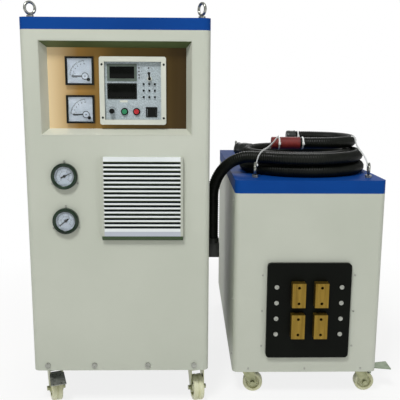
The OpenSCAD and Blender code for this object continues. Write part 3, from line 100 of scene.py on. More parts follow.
def coil_point(turned):
    """Point of the coil after that many degrees: inwards on top, over, then outwards below."""
    inwards = 360 * COIL_LOOPS
    after = turned - inwards
    radius = COIL_R - COIL_PITCH * COIL_LOOPS
    if after <= 0:
        radius, height = COIL_R - COIL_PITCH * turned / 360, TOP_LAYER
    elif after <= 180:
        radius -= COIL_PITCH / 360 * (after - after * after / 180)
        swing = math.cos(math.radians(after))
        height = (TOP_LAYER + LOW_LAYER + (TOP_LAYER - LOW_LAYER) * swing) / 2
    else:
        radius, height = radius + COIL_PITCH * (after - 180) / 360, LOW_LAYER
    angle = math.radians(COIL_START + turned)
    return COIL_MIDDLE + Vector((radius * math.cos(angle), radius * math.sin(angle), height))


def heading(turned):
    """Level direction in which the coil runs there."""
    angle = math.radians(COIL_START + turned)
    return Vector((-math.sin(angle), math.cos(angle), 0))


def straight(start, way, length):
    """Points of a straight stretch."""
    return [start + way * length * step / 20 for step in range(21)]


def bend(start, way, side, radius, angle):
    """Arc of that radius from start, turning from way towards side."""
    centre = start + side * radius
    turns = [math.radians(angle) * step / 60 for step in range(61)]
    return [centre - side * radius * math.cos(t) + way * radius * math.sin(t) for t in turns]


def even(points, step):
    """Points at equal steps along a line of closer points."""
    spaced = [points[0]]
    left = step
    for a, b in zip(points, points[1:]):
        run = (b - a).length
        done = 0
        while run - done >= left:
            done += left
            spaced.append(a.lerp(b, done / run))
            left = step
        left -= run - done
    if (points[-1] - spaced[-1]).length > step / 4:
        spaced.append(points[-1])
    return spaced


def hose(name, points, material):
    """Corrugated tube: four rings of points to each rib, two on its crest and two in its valley."""
    line = even(points, RIB / 4)
    curve = bpy.data.curves.new(name, "CURVE")
    curve.dimensions = "3D"
    curve.bevel_depth = HOSE_D / 2 * MM
    curve.bevel_resolution = 4
    curve.use_fill_caps = True
    curve.twist_mode = "MINIMUM"
    spline = curve.splines.new("POLY")
    spline.points.add(len(line) - 1)
    for index, point in enumerate(line):
        spline.points[index].co = (*at(*point), 1)
        spline.points[index].radius = 1 if index % 4 < 2 else RIB_VALLEY
    curve.materials.append(material)
    made = bpy.data.objects.new(name, curve)
    bpy.context.scene.collection.objects.link(made)
    length = sum((b - a).length for a, b in zip(line, line[1:])) * MM
    return made, length


def tint(code):
    """sRGB hex to the linear colour that Blender takes."""
    parts = [int(code[i:i + 2], 16) / 255 for i in (1, 3, 5)]
    return [c / 12.92 if c <= 0.04045 else ((c + 0.055) / 1.055) ** 2.4 for c in parts] + [1]


def put(tree, kind, inputs, **properties):
    """Adds a node with its settings and links."""
    made = tree.nodes.new(kind)
    for name, value in properties.items():
        setattr(made, name, value)
    for name, value in inputs.items():
        if isinstance(value, bpy.types.NodeSocket):
            tree.links.new(value, made.inputs[name])
        else:
            made.inputs[name].default_value = value
    return made


def shaded(tree, factor, dark, pale, spread=0.18):
    """Colour between two shades by a factor."""
    made = put(tree, "ShaderNodeValToRGB", {"Fac": factor})
    made.color_ramp.elements[0].position = 0.5 - spread
    made.color_ramp.elements[0].color = tint(dark)
    made.color_ramp.elements[1].position = 0.5 + spread
    made.color_ramp.elements[1].color = tint(pale)
    return made.outputs["Color"]


def finish(name, dark, pale, rough, patch=180, grain=1.2, relief=0.02, pull=(1, 1, 1), metal=0.0,
           coat=0.0, uneven=0.06, ior=1.5):
    """Surface clouded between two shades over patch mm, with a relief of grain mm. pull stretches
    both patterns: 0.05 makes them 20 times longer along that axis."""
    material = bpy.data.materials.new(name)
    material.use_nodes = True
    tree = material.node_tree
    shader = tree.nodes["Principled BSDF"]
    place = put(tree, "ShaderNodeTexCoord", {})
    pulled = put(tree, "ShaderNodeMapping", {"Vector": place.outputs["Object"], "Scale": pull})
    cloud = put(tree, "ShaderNodeTexNoise", {
        "Vector": pulled.outputs["Vector"], "Scale": 1 / (patch * MM), "Detail": 5.0,
    })
    fine = put(tree, "ShaderNodeTexNoise", {
        "Vector": pulled.outputs["Vector"], "Scale": 1 / (grain * MM), "Detail": 2.0,
    })
    bump = put(tree, "ShaderNodeBump", {
        "Height": fine.outputs["Fac"], "Distance": relief * MM, "Strength": 0.6,
    })
    gloss = put(tree, "ShaderNodeMapRange", {
        "Value": cloud.outputs["Fac"], "From Min": 0.3, "From Max": 0.7,
        "To Min": max(rough - uneven, 0.03), "To Max": rough + uneven,
    })
    tree.links.new(shaded(tree, cloud.outputs["Fac"], dark, pale), shader.inputs["Base Color"])
    tree.links.new(gloss.outputs["Result"], shader.inputs["Roughness"])
    tree.links.new(bump.outputs["Normal"], shader.inputs["Normal"])
    shader.inputs["Metallic"].default_value = metal
    shader.inputs["Coat Weight"].default_value = coat
    shader.inputs["Coat Roughness"].default_value = 0.12
    if not metal:
        shader.inputs["IOR"].default_value = ior
    return material


# Black polyethylene, extruded: nearly black with a green cast, dust in the valleys
polyethylene = finish("black_polyethylene", "#090b07", "#12150f", 0.42, patch=60, grain=2.5,
                      relief=0.05, ior=1.27)

coil_begins, coil_ends = coil_point(0), coil_point(360 * COIL_TURNS)
way_in, way_out = heading(0), heading(360 * COIL_TURNS)
UP = Vector((0, 0, 1))
lead_in = coil_begins - way_in * HOSE_D * 2
riser_top = lead_in - way_in * RISER_BEND - UP * RISER_BEND
riser_foot = Vector((riser_top.x, riser_top.y, RISER_FOOT))
lift = math.degrees(math.acos(1 - TAIL_RISE / 2 / TAIL_BEND))
tail_start = coil_ends + way_out * HOSE_D * 2
tail_up = bend(tail_start, way_out, UP, TAIL_BEND, lift)
tail_way = (way_out * math.cos(math.radians(lift)) + UP * math.sin(math.radians(lift)))
tail_side = (way_out * math.sin(math.radians(lift)) - UP * math.cos(math.radians(lift)))
tail_level = bend(tail_up[-1], tail_way, tail_side, TAIL_BEND, lift)
tail_rest = TAIL_LENGTH - HOSE_D - 2 * TAIL_BEND * math.radians(lift)
tail_end = tail_level[-1] + way_out * tail_rest
hose_line = (
    straight(riser_foot, UP, riser_top.z - RISER_FOOT)
    + bend(riser_top, UP, way_in, RISER_BEND, 90)[1:]
    + straight(lead_in, way_in, HOSE_D * 2)[1:]
    + [coil_point(360 * COIL_TURNS * step / COIL_STEPS) for step in range(1, COIL_STEPS + 1)]
    + straight(coil_ends, way_out, HOSE_D * 2)[1:]
    + tail_up[1:] + tail_level[1:]
    + straight(tail_level[-1], way_out, tail_rest)[1:]
)
power_hose, power_hose_length = hose("power_hose", hose_line, polyethylene)
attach(power_hose, "machine")
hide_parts("hose_riser", "hose_coil", "hose_tail")


# Hose fittings: moulded nylon. The outlet block on the power cabinet's side with its
# clamp ring, the knurled coupling on the tail's end, and the push-on cap on the jumper.
def block(low, high, round_edge=0.0, segments=2):
    """Box between two corners, its edges rounded."""
    shape = bmesh.new()
    bmesh.ops.create_cube(shape, size=1)
    low, high = at(*low), at(*high)
    bmesh.ops.scale(shape, vec=high - low, verts=shape.verts)
    bmesh.ops.translate(shape, vec=(low + high) / 2, verts=shape.verts)
    if round_edge:
        bmesh.ops.bevel(shape, geom=shape.edges[:], offset=round_edge * MM, segments=segments,
                        affect="EDGES", profile=0.5, material=-1)
    return shape


def turned(outline, foot, along, steps=32):
    """Turned shape: outline is (radius, distance along) in mm, from foot in the direction along."""
    shape = bmesh.new()
    points = [shape.verts.new((r * MM, 0, d * MM)) for r, d in outline]
    edges = [shape.edges.new(pair) for pair in zip(points, points[1:])]
    bmesh.ops.spin(shape, geom=points + edges, cent=(0, 0, 0), axis=(0, 0, 1),
                   angle=math.tau, steps=steps, use_merge=True)
    bmesh.ops.remove_doubles(shape, verts=shape.verts, dist=1e-6)
    bmesh.ops.recalc_face_normals(shape, faces=shape.faces)
    turn = Vector((0, 0, 1)).rotation_difference(Vector(along)).to_matrix().to_4x4()
    shape.transform(Matrix.Translation(at(*foot)) @ turn)
    return shape


def piece(name, shapes, material, body="machine", replaces=()):
    """One piece from its shapes, smooth but for its sharp edges, riding on a body."""
    whole = bmesh.new()
    for shape in shapes:
        part = bpy.data.meshes.new("part")
        shape.to_mesh(part)
        shape.free()
        whole.from_mesh(part)
        bpy.data.meshes.remove(part)
    mesh = bpy.data.meshes.new(name)
    whole.to_mesh(mesh)
    whole.free()
    mesh.shade_smooth()
    mesh.set_sharp_from_angle(angle=math.radians(32))
    mesh.materials.append(material)
    made = bpy.data.objects.new(name, mesh)
    bpy.context.scene.collection.objects.link(made)
    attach(made, body)
    if replaces:
        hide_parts(*replaces)
    return made


def ribs(radius, first, last, pitch, deep):
    """Outline of a grip with turned grooves, from first to last along the axis."""
    outline = []
    place = first
    while place + pitch <= last:
        outline += [(radius, place), (radius, place + pitch * 0.55),
                    (radius - deep, place + pitch * 0.7), (radius - deep, place + pitch * 0.9)]
        place += pitch
    return outline


# Glass-filled nylon, moulded: charcoal, slightly glossy, with a fine grain
nylon = finish("moulded_nylon", "#1c1f1c", "#2b2f2b", 0.38, patch=40, grain=0.8, relief=0.03)
OUTLET_HALF = 22
OUTLET_WALL = 530
OUTLET_FOOT = 420
SINK = 0.2
piece("hose_outlet_block", [
    block((OUTLET_WALL, riser_foot.y - OUTLET_HALF, OUTLET_FOOT),
          (riser_foot.x + OUTLET_HALF, riser_foot.y + OUTLET_HALF, RISER_FOOT), 3),
    turned([(15, 0), (21.5, 0), (21.5, 10), (20, 13), (15, 13)], riser_foot - UP * SINK, UP),
], nylon, replaces=("hose_fittings",))
coupling = piece("hose_coupling", [turned(
    [(0, 0.2), (22, 0.2), (25, 2)] + ribs(26, 4, 44, 5, 1.2)
    + [(24, 46), (24, 62), (26, 64), (26, 70), (13, 70), (13, 36), (0, 36)],
    tail_end, way_out, 36,
)], nylon)
JUMPER_Z = 799.35
JUMPER_NEAR = Vector((739, 239, JUMPER_Z))
JUMPER_BEND = 145
JUMPER_NEAR_LENGTH = 147
JUMPER_FAR_LENGTH = 52
RIGHT, REAR = Vector((1, 0, 0)), Vector((0, 1, 0))
near_end = JUMPER_NEAR + RIGHT * JUMPER_NEAR_LENGTH
far_start = near_end + REAR * 2 * JUMPER_BEND
far_tip = far_start - RIGHT * JUMPER_FAR_LENGTH
cap = piece("jumper_cap", [turned(
    [(0, 0), (17, 0), (20, 2), (21, 5), (21, 12), (20.2, 13), (20.2, 27), (21, 28), (21, 32),
     (19.2, 32), (19.2, 2.1), (0, 2.1)],
    far_tip - RIGHT * 2, RIGHT,
)], nylon)

# Jumper hose: a short length of the same conduit, bent back on itself on top of the coil,
# with a red shrunk sleeve on its near end and the cap on its far end.
jumper_line = (
    straight(JUMPER_NEAR, RIGHT, JUMPER_NEAR_LENGTH)
    + bend(near_end, RIGHT, REAR, JUMPER_BEND, 180)[1:]
    + straight(far_start, -RIGHT, JUMPER_FAR_LENGTH)[1:]
)
jumper, jumper_length = hose("jumper", jumper_line, polyethylene)
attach(jumper, "machine")
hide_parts("jumper_hose")
# Heat-shrunk polyolefin: brick red, wrinkled where it drew down over the ribs
shrink = finish("red_shrink_sleeve", "#5c120d", "#7e211a", 0.55, patch=18, grain=3.0, relief=0.5)
SLEEVE_LENGTH = 92
waves = [(20 - 0.45 * (step % 2), 2 + (SLEEVE_LENGTH - 6) * step / 24) for step in range(25)]
sleeve = piece("jumper_sleeve", [turned(
    [(0, 0), (16.5, 0), (19, 0.6), *waves,
     (20, SLEEVE_LENGTH - 1), (19.1, SLEEVE_LENGTH), (19.1, 1), (0, 1)],
    JUMPER_NEAR - RIGHT, RIGHT, 40,
)], shrink, replaces=("red_sleeve",))


# Cable ties: white nylon straps with their square heads. Three go round the jumper and
# its sleeve, and two run from the lid's front eyes up over the coil and the jumper.
TIE_W = 4.8
TIE_T = 1.0


def strap(points):
    """Flat strap along points that bends over what it lies on."""
    curve = bpy.data.curves.new("strap", "CURVE")
    curve.dimensions = "3D"
    curve.extrude = TIE_W / 2 * MM
    curve.bevel_depth = TIE_T / 2 * MM
    curve.bevel_resolution = 1
    curve.twist_mode = "MINIMUM"
    spline = curve.splines.new("NURBS")
    spline.points.add(len(points) - 1)
    for index, point in enumerate(points):
        spline.points[index].co = (*at(*point), 1)
    spline.use_endpoint_u = True
    spline.order_u = 3
    spline.resolution_u = 6
    holder = bpy.data.objects.new("strap", curve)
    bpy.context.scene.collection.objects.link(holder)
    mesh = bpy.data.meshes.new_from_object(holder)
    shape = bmesh.new()
    shape.from_mesh(mesh)
    bpy.data.objects.remove(holder)
    bpy.data.curves.remove(curve)
    bpy.data.meshes.remove(mesh)
    return shape


def band(radius, middle):
    """Strap pulled tight round a hose that runs along x, with its head in front."""
    x, y, z = middle
    return [
        turned([(radius, -TIE_W / 2), (radius + TIE_T, -TIE_W / 2), (radius + TIE_T, TIE_W / 2),
                (radius, TIE_W / 2), (radius, -TIE_W / 2)], middle, RIGHT, 40),
        block((x - 4, y - radius - 6, z - 4), (x + 4, y - radius - 0.5, z + 4), 1),
    ]


# Polyamide 66, moulded: milky white, smooth
polyamide = finish("white_polyamide", "#d9dcd8", "#eceeec", 0.35, patch=30, grain=1.5, relief=0.03)
TIE_PAST_SLEEVE, TIE_PAST_CAP = 8, 40
tie_near = (JUMPER_NEAR.x + SLEEVE_LENGTH / 4, JUMPER_NEAR.y, JUMPER_Z)
tie_middle = (JUMPER_NEAR.x + SLEEVE_LENGTH + TIE_PAST_SLEEVE, JUMPER_NEAR.y, JUMPER_Z)
tie_far = (far_tip.x + TIE_PAST_CAP, far_tip.y, JUMPER_Z)
ties = piece("jumper_straps", [
    *band(20.3, tie_near), *band(19.3, tie_middle), *band(19.3, tie_far),
], polyamide, replaces=("cable_ties",))
piece("eye_straps", [
    strap([(677, 123, 738), (681, 128, 762), (695, 141, 783), (716, 168, 789), (741, 205, 805),
           (752, 219, 817), (760, 232, 821.5), (762, 240, 822), (763, 250, 820)]),
    strap([(1025, 123, 738), (1019, 130, 762), (1006, 150, 784), (1004, 180, 792), (1007, 215, 806),
           (1010, 238, 819), (1008, 252, 822), (1004, 262, 820)]),
    block((674, 119, 738), (683, 126, 745), 1), block((1020, 119, 738), (1029, 126, 745), 1),
], polyamide)


# Cabinet shells: folded 2 mm mild steel, powder-coated after folding. The panels are a pale
# greenish grey, the lids a deep blue, and the surround of the recess is folded inwards.
def coat_node(names, material):
    """Gives CAD nodes a better material."""
    for name in names:
        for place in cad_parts[name].material_slots:
            place.material = material


# Powder coat, sprayed and baked: a fine orange peel and a soft sheen
pale_coat = finish("pale_powder_coat", "#b9beb0", "#c2c6b9", 0.5, patch=420, grain=1.6,
                   relief=0.03)
blue_coat = finish("blue_powder_coat", "#033b84", "#06438f", 0.6, patch=320, grain=1.6,
                   relief=0.03, ior=1.2)
coat_node(["pu_front_panel", "pu_side_panels", "pu_rear_door", "hs_front_panel", "hs_side_panels",
           "hs_rear_panel"], pale_coat)
coat_node(["pu_lid", "hs_lid"], blue_coat)


def shade_painted_below(material, dark, pale):
    """The same coat with a painted shade of olive green on the faces that look down."""
    tree = material.node_tree
    shader = tree.nodes["Principled BSDF"]
    side = put(tree, "ShaderNodeSeparateXYZ", {
        "Vector": put(tree, "ShaderNodeNewGeometry", {}).outputs["True Normal"],
    })
    # faces that look down get the painted shade
    below = put(tree, "ShaderNodeMath", {0: side.outputs["Z"], 1: -0.3}, operation="LESS_THAN")
    clouds = put(tree, "ShaderNodeTexNoise", {
        "Vector": put(tree, "ShaderNodeTexCoord", {}).outputs["Object"], "Scale": 1 / (120 * MM),
    })
    mixed = put(tree, "ShaderNodeMix", {
        0: below.outputs["Value"], 6: shader.inputs["Base Color"].links[0].from_socket,
        7: shaded(tree, clouds.outputs["Fac"], dark, pale),
    }, data_type="RGBA")
    tree.links.new(mixed.outputs[2], shader.inputs["Base Color"])
    return material


# The surround and the grille get a painted shade of olive green on their faces that look down
surround_coat = shade_painted_below(finish("surround_powder_coat", "#b9bdaf", "#c6c9bc", 0.5, patch=260,
                                   grain=1.6, relief=0.03), "#46552e", "#52613a")
coat_node(["recess_surround"], surround_coat)
grille_coat = shade_painted_below(finish("grille_powder_coat", "#dde3e3", "#e7ecec", 0.45, patch=120,
                                 grain=1.6, relief=0.03), "#46552e", "#52613a")
# The grille's sides carry the panel's paint, the band under its slots a lavender grey one,
# and its sloped foot a painted shade of dark olive green
vent_low, vent_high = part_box("vent_grille")
grille_tree = grille_coat.node_tree
grille_shader = grille_tree.nodes["Principled BSDF"]
grille_place = put(grille_tree, "ShaderNodeSeparateXYZ", {
    "Vector": put(grille_tree, "ShaderNodeTexCoord", {}).outputs["Object"],
})
paint = grille_shader.inputs["Base Color"].links[0].from_socket
GRILLE_BAND, GRILLE_SIDE, GRILLE_SHADED_FOOT = 27, 7, 13
for axis, edge, side, code in (
    ("Z", vent_low.z + GRILLE_BAND * MM, "LESS_THAN", "#b3bac4"),
    ("X", vent_low.x + GRILLE_SIDE * MM, "LESS_THAN", "#b4b8ab"),
    ("X", vent_high.x - GRILLE_SIDE * MM, "GREATER_THAN", "#b4b8ab"),
    # the foot's dark olive is painted shade
    ("Z", vent_low.z + GRILLE_SHADED_FOOT * MM, "LESS_THAN", "#2b431f"),
):
    within = put(grille_tree, "ShaderNodeMath", {
        0: grille_place.outputs[axis], 1: edge,
    }, operation=side)
    paint = put(grille_tree, "ShaderNodeMix", {
        0: within.outputs["Value"], 6: paint, 7: tint(code),
    }, data_type="RGBA").outputs[2]
grille_tree.links.new(paint, grille_shader.inputs["Base Color"])
coat_node(["vent_grille"], grille_coat)
# Hot-dip galvanised base frames, mill finish, with a spangle of a few millimetres
galvanised = finish("galvanised_steel", "#7d8384", "#a0a5a4", 0.42, patch=14, grain=4,
                    relief=0.02, metal=0.85)
coat_node(["pu_base", "hs_base"], galvanised)
# Zinc-plated screws and eyes, bright with a grey cast
zinc = finish("zinc_plate", "#8c8e86", "#b2b4ac", 0.3, patch=8, grain=1, relief=0.02, metal=0.9)
coat_node(["panel_screws", "lifting_eyes", "pu_brake_pedal"], zinc)

# Painted shade: a black sheet with an open-cell relief behind the grille's slots darkens their gaps
gap_shade = finish("black_gap_shade", "#0d1420", "#1a2430", 0.9, patch=8, grain=2.0, relief=0.8)
GAP_SHADE_LOW, GAP_SHADE_HIGH = (223, -9.5, 541), (449, -5, 774)
piece("grille_gap_shade", [block(GAP_SHADE_LOW, GAP_SHADE_HIGH, 1)], gap_shade)

# Door locks: two black quarter-turn locks with a slot, on the free edge of the rear door
door_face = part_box("pu_rear_door")[1].y / MM + MIDDLE.y
LOCK_X, LOCK_ZS = 497, (380, 870)
piece("door_locks", [
    turned([(0, 0), (13, 0), (13, 2), (11.5, 3.2), (8.5, 3.2), (8, 2), (3, 2), (2.6, 5), (0, 5)],
           (LOCK_X, door_face - SINK, z), REAR, 32) for z in LOCK_ZS
], nylon, body="rear_door")

# Instrument plate: anodised aluminium, brushed upright before it was dyed gold
gold_plate = finish("gold_anodised_brushed", "#8c6a30", "#a98342", 0.4, patch=60, grain=0.9,
                    relief=0.05, pull=(1, 1, 0.02), metal=0.6, uneven=0.08)
# Painted reflection: the plate is painted palest at its left end and dark brown at its right
gold_tree = gold_plate.node_tree
gold_side = put(gold_tree, "ShaderNodeSeparateXYZ", {
    "Vector": put(gold_tree, "ShaderNodeTexCoord", {}).outputs["Object"],
})
PLATE_LEFT, PLATE_RIGHT = 68, 462
gold_end = put(gold_tree, "ShaderNodeMapRange", {
    "Value": gold_side.outputs["X"],
    "From Min": at(PLATE_LEFT, 0, 0).x, "From Max": at(PLATE_RIGHT, 0, 0).x,
})
# ramp of the painted reflection, from pale at the left to near black at the right
painted_reflection = put(gold_tree, "ShaderNodeValToRGB", {"Fac": gold_end.outputs["Result"]})
stops = painted_reflection.color_ramp.elements
for place, code in zip((0.0, 0.22, 0.5, 1.0), ("#ffe7b8", "#b58a45", "#63501f", "#1e1606")):
    stop = stops[0] if place == 0 else stops[-1] if place == 1 else stops.new(place)
    stop.position = place
    stop.color = tint(code)
gold_shader = gold_tree.nodes["Principled BSDF"]
brushed_and_reflection = put(gold_tree, "ShaderNodeMix", {
    0: 0.15, 6: painted_reflection.outputs["Color"], 7: gold_shader.inputs["Base Color"].links[0].from_socket,
}, data_type="RGBA")
gold_tree.links.new(brushed_and_reflection.outputs[2], gold_shader.inputs["Base Color"])
coat_node(["instrument_plate"], gold_plate)

# Meters and gauges: black moulded meter cases, and turned gauge cases with a polished bezel.
# Behind each window lies a white printed dial with its scale, under a sheet-steel pointer.
case_black = finish("black_case_moulding", "#0b0e0a", "#141812", 0.4, patch=50, grain=1,
                    relief=0.015, ior=1.35)
coat_node(["instrument_cases"], case_black)
pointer_black = finish("black_enamel_pointer", "#0c0c0c", "#171717", 0.4, patch=10, grain=0.8,
                       relief=0.01)
coat_node(["upper_meter_pointer", "lower_meter_pointer",
           "upper_gauge_pointer", "lower_gauge_pointer"], pointer_black)
# Float glass windows, clear with a trace of green
window_glass = bpy.data.materials.new("window_glass")
window_glass.use_nodes = True
glass_tree = window_glass.node_tree
glass_shader = glass_tree.nodes["Principled BSDF"]
glass_shader.inputs["Transmission Weight"].default_value = 1
glass_shader.inputs["IOR"].default_value = 1.2
smears = put(glass_tree, "ShaderNodeTexNoise", {
    "Vector": put(glass_tree, "ShaderNodeTexCoord", {}).outputs["Object"], "Scale": 1 / (22 * MM),
})
glass_tree.links.new(shaded(glass_tree, smears.outputs["Fac"], "#eef3f2", "#f7faf9"),
                     glass_shader.inputs["Base Color"])
glass_tree.links.new(put(glass_tree, "ShaderNodeMapRange", {
    "Value": smears.outputs["Fac"], "To Min": 0.02, "To Max": 0.07,
}).outputs["Result"], glass_shader.inputs["Roughness"])
coat_node(["instrument_windows"], window_glass)
# Dial card, printed paper: white with a lavender cast
dial_card = finish("dial_card", "#c6ccdb", "#d6dbe6", 0.6, patch=50, grain=0.6, relief=0.01)
# Screen-printed scale ink
ink = finish("scale_ink", "#15171c", "#22252c", 0.6, patch=10, grain=0.5, relief=0.01)


def tick(x, y, z, angle, near, far, wide):
    """Printed line on a dial, between two radii from its pivot."""
    shape = bmesh.new()
    bmesh.ops.create_cube(shape, size=1)
    bmesh.ops.scale(shape, vec=Vector((far - near, 0.1, wide)) * MM, verts=shape.verts)
    bmesh.ops.translate(shape, vec=Vector(((near + far) / 2, 0, 0)) * MM, verts=shape.verts)
    shape.transform(Matrix.Translation(at(x, y, z)) @ Matrix.Rotation(-math.radians(angle), 4, "Y"))
    return shape


def figure(text, x, y, z, size):
    """Printed number, standing on the dial's face."""
    words = bpy.data.curves.new("figure", "FONT")
    words.body = text
    words.size = size * MM
    words.align_x = "CENTER"
    words.align_y = "CENTER"
    words.extrude = 0.05 * MM
    holder = bpy.data.objects.new("figure", words)
    bpy.context.scene.collection.objects.link(holder)
    mesh = bpy.data.meshes.new_from_object(holder)
    shape = bmesh.new()
    shape.from_mesh(mesh)
    shape.transform(Matrix.Translation(at(x, y, z)) @ Matrix.Rotation(math.pi / 2, 4, "X"))
    bpy.data.objects.remove(holder)
    bpy.data.curves.remove(words)
    bpy.data.meshes.remove(mesh)
    return shape


def off(pivot, y, radius, angle):
    """Place at a radius and an angle from a pivot."""
    x, z = pivot
    turn = math.radians(angle)
    return x + radius * math.cos(turn), y, z + radius * math.sin(turn)


def arc(pivot, y, radius, angles, half, wide):
    """Printed arc of short lines."""
    return [tick(*off(pivot, y, radius, a), a + 90, -half, half, wide) for a in angles]


def scale(pivot, y, first, last, radius, size):
    """Scale with ten parts and its figures, between two angles round a pivot."""
    x, z = pivot
    marks = []
    for step in range(51):
        angle = first + (last - first) * step / 50
        long_mark = step % 10 == 0
        length, wide = (4.5, 0.7) if long_mark else (2.6, 0.35)
        marks.append(tick(x, y, z, angle, radius - length, radius, wide))
        if long_mark:
            reach = radius - 4.8 - size * 0.75
            marks.append(figure(str(step // 5), *off(pivot, y, reach, angle), size))
    return marks + arc(pivot, y, radius, range(min(first, last), max(first, last) + 1, 3), 1.3, 0.5)


METER_X, METER_ZS = 159, {"upper": 1020, "lower": 912}
METER_PIVOT = (15.5, -14.7)
CARD_HALF, CARD_FRONT, CARD_T = 34.8, 33.3, 0.6
PRINT_OUT = 0.06
COVER_R, COVER_GAP = 8.6, 0.3
NEEDLE_OUT = 0.04
for meter, middle_z in METER_ZS.items():
    pivot = (METER_X + METER_PIVOT[0], middle_z + METER_PIVOT[1])
    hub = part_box(f"{meter}_meter_pointer")[0].y / MM + MIDDLE.y
    cover = (pivot[0], hub - COVER_GAP, pivot[1])
    piece(f"{meter}_meter_dial", [
        block((METER_X - CARD_HALF, CARD_FRONT, middle_z - CARD_HALF),
              (METER_X + CARD_HALF, CARD_FRONT + CARD_T, middle_z + CARD_HALF), 0.2, 1),
        turned([(0, 0), (COVER_R, 0), (COVER_R, 0.3), (0, 0.3)], cover, -REAR, 32),
    ], dial_card)
    print_y = CARD_FRONT - PRINT_OUT
    piece(f"{meter}_meter_scale", [
        *scale(pivot, print_y, 176, 94, 44, 6),
        tick(METER_X - 14, print_y, middle_z - 18, 0, -7, 7, 1.1),
        figure("~", METER_X - 14, print_y, middle_z - 8, 10),
    ], ink)
    piece(f"{meter}_meter_zero_screw", [
        turned([(9, 0), (10, 0), (10, 0.4), (9.4, 0.6), (8.4, 0.4), (8.4, 0)], cover, -REAR),
        turned([(0, 0), (1.6, 0), (1.6, 0.9), (0, 0.9)], cover, -REAR, 16),
        turned([(0, 0), (4.6, 0), (4.6, 3.6), (3.8, 4.6), (0, 4.6)],
               (METER_X + 24.6, CARD_FRONT, middle_z - 24.4), -REAR),
    ], case_black)

for meter, middle_z in METER_ZS.items():
    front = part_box(f"{meter}_meter_pointer")[0].y / MM + MIDDLE.y
    piece(f"{meter}_meter_needle", [
        tick(METER_X + METER_PIVOT[0], front - NEEDLE_OUT, middle_z + METER_PIVOT[1],
             180, -6, 38, 3),
    ], pointer_black, body=f"{meter}_meter_pointer")

# The gauges' needles stand where the photograph shows them, with a short broad tail
GAUGE_X, GAUGE_ZS = 113.3, {"upper": 723.2, "lower": 592.2}
GAUGE_ANGLES = {"upper": 25.6, "lower": 218.3}
for gauge, middle_z in GAUGE_ZS.items():
    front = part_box(f"{gauge}_gauge_pointer")[0].y / MM + MIDDLE.y
    piece(f"{gauge}_gauge_needle", [
        tick(GAUGE_X, front - NEEDLE_OUT, middle_z, GAUGE_ANGLES[gauge], near, far, wide)
        for near, far, wide in ((-9, 22, 2.2), (-4, 10, 3), (-11, -4, 4.6))
    ] + [
        turned([(0, 0), (4.2, 0), (4.2, 0.3), (3.6, 0.6), (0, 0.6)],
               (GAUGE_X, front, middle_z), -REAR, 24),
    ], pointer_black, body=f"{gauge}_gauge_pointer")

# Gauge bezels: pressed steel, enamelled dark green and polished
bezel_green = finish("green_enamel_bezel", "#101f13", "#1f3524", 0.2, patch=40, grain=1,
                     relief=0.01, coat=0.25, ior=1.3)
DISH_R, DISH_BACK, GAUGE_PRINT = 32.2, -4.05, -4.75
for gauge, middle_z in GAUGE_ZS.items():
    pivot = (GAUGE_X, middle_z)
    piece(f"{gauge}_gauge_dial", [
        turned([(0, 0), (DISH_R, 0), (DISH_R, 0.6), (0, 0.6)],
               (GAUGE_X, DISH_BACK, middle_z), -REAR, 48),
    ], dial_card)
    piece(f"{gauge}_gauge_scale", [
        *scale(pivot, GAUGE_PRINT, 225, -45, 24, 4.4),
        *arc(pivot, GAUGE_PRINT, 13, range(-45, 226, 10), 1.4, 0.6),
    ], ink)
    piece(f"{gauge}_gauge_bezel", [
        turned([(27.6, 12.1), (27.8, 13), (29.2, 14.1), (33.2, 15), (36.4, 13.8), (37.7, 10.5),
                (37.9, 6), (37.9, 0.4), (37.6, 0.4), (37.6, 12.1), (27.6, 12.1)],
               (GAUGE_X, 0, middle_z), -REAR, 64),
    ], bezel_green)


# Controller: a moulded bezel round a sheet-metal face, painted in a fleck finish. On it are
# two display windows, lamps, keys, the stop and start buttons' rings and the rocker's frame.
CTL = Vector((310, 0, 964.5))
CTL_W, CTL_H = 189, 191
FACE_Y = 33
FACE_HALF_W, FACE_HALF_H = 80.2, 81.2
LAID_Y = FACE_Y - 0.5
FOOT_Y = FACE_Y - 0.4
MARK_Y = FACE_Y - 0.55
BEZEL_FRONT, BEZEL_BACK, BEZEL_SUNK, BEZEL_CORNER = 30.6, 32.9, 0.9, 1.2


def on_face(share_x, share_z):
    """Place on the controller by shares of its width and height from its middle."""
    return CTL.x + share_x * CTL_W, CTL.z + share_z * CTL_H


def frame_block(middle, width, height, rim):
    """Display bezel: a box whose front face is sunk inside a rim, its outer corners rounded."""
    x, z = middle
    shape = block((x - width / 2, BEZEL_FRONT, z - height / 2),
                  (x + width / 2, BEZEL_BACK, z + height / 2))
    shape.faces.ensure_lookup_table()
    face = min(shape.faces, key=lambda f: f.calc_center_median().y)
    bmesh.ops.inset_region(shape, faces=[face], thickness=rim * MM, use_even_offset=True)
    front = at(x, BEZEL_FRONT, z)
    face = min((f for f in shape.faces if f.calc_area() > 1e-4), key=lambda f: (
        f.calc_center_median().y, (f.calc_center_median() - front).length))
    pushed = bmesh.ops.extrude_discrete_faces(shape, faces=[face])["faces"]
    bmesh.ops.translate(shape, vec=REAR * BEZEL_SUNK * MM, verts=pushed[0].verts)
    bmesh.ops.bevel(shape, geom=[
        edge for edge in shape.edges
        if abs((edge.verts[0].co - edge.verts[1].co).normalized().y) > 0.9
        and abs(edge.verts[0].co.x - front.x) > (width / 2 - 0.1) * MM
    ], offset=BEZEL_CORNER * MM, segments=3, affect="EDGES", profile=0.5, material=-1)
    bmesh.ops.recalc_face_normals(shape, faces=shape.faces)
    return shape


# Acrylonitrile-butadiene-styrene bezel, moulded: warm pale grey, satin
pale_abs = finish("pale_abs", "#c3c7ba", "#cfd2c6", 0.36, patch=120, grain=0.8, relief=0.02)
coat_node(["controller"], pale_abs)
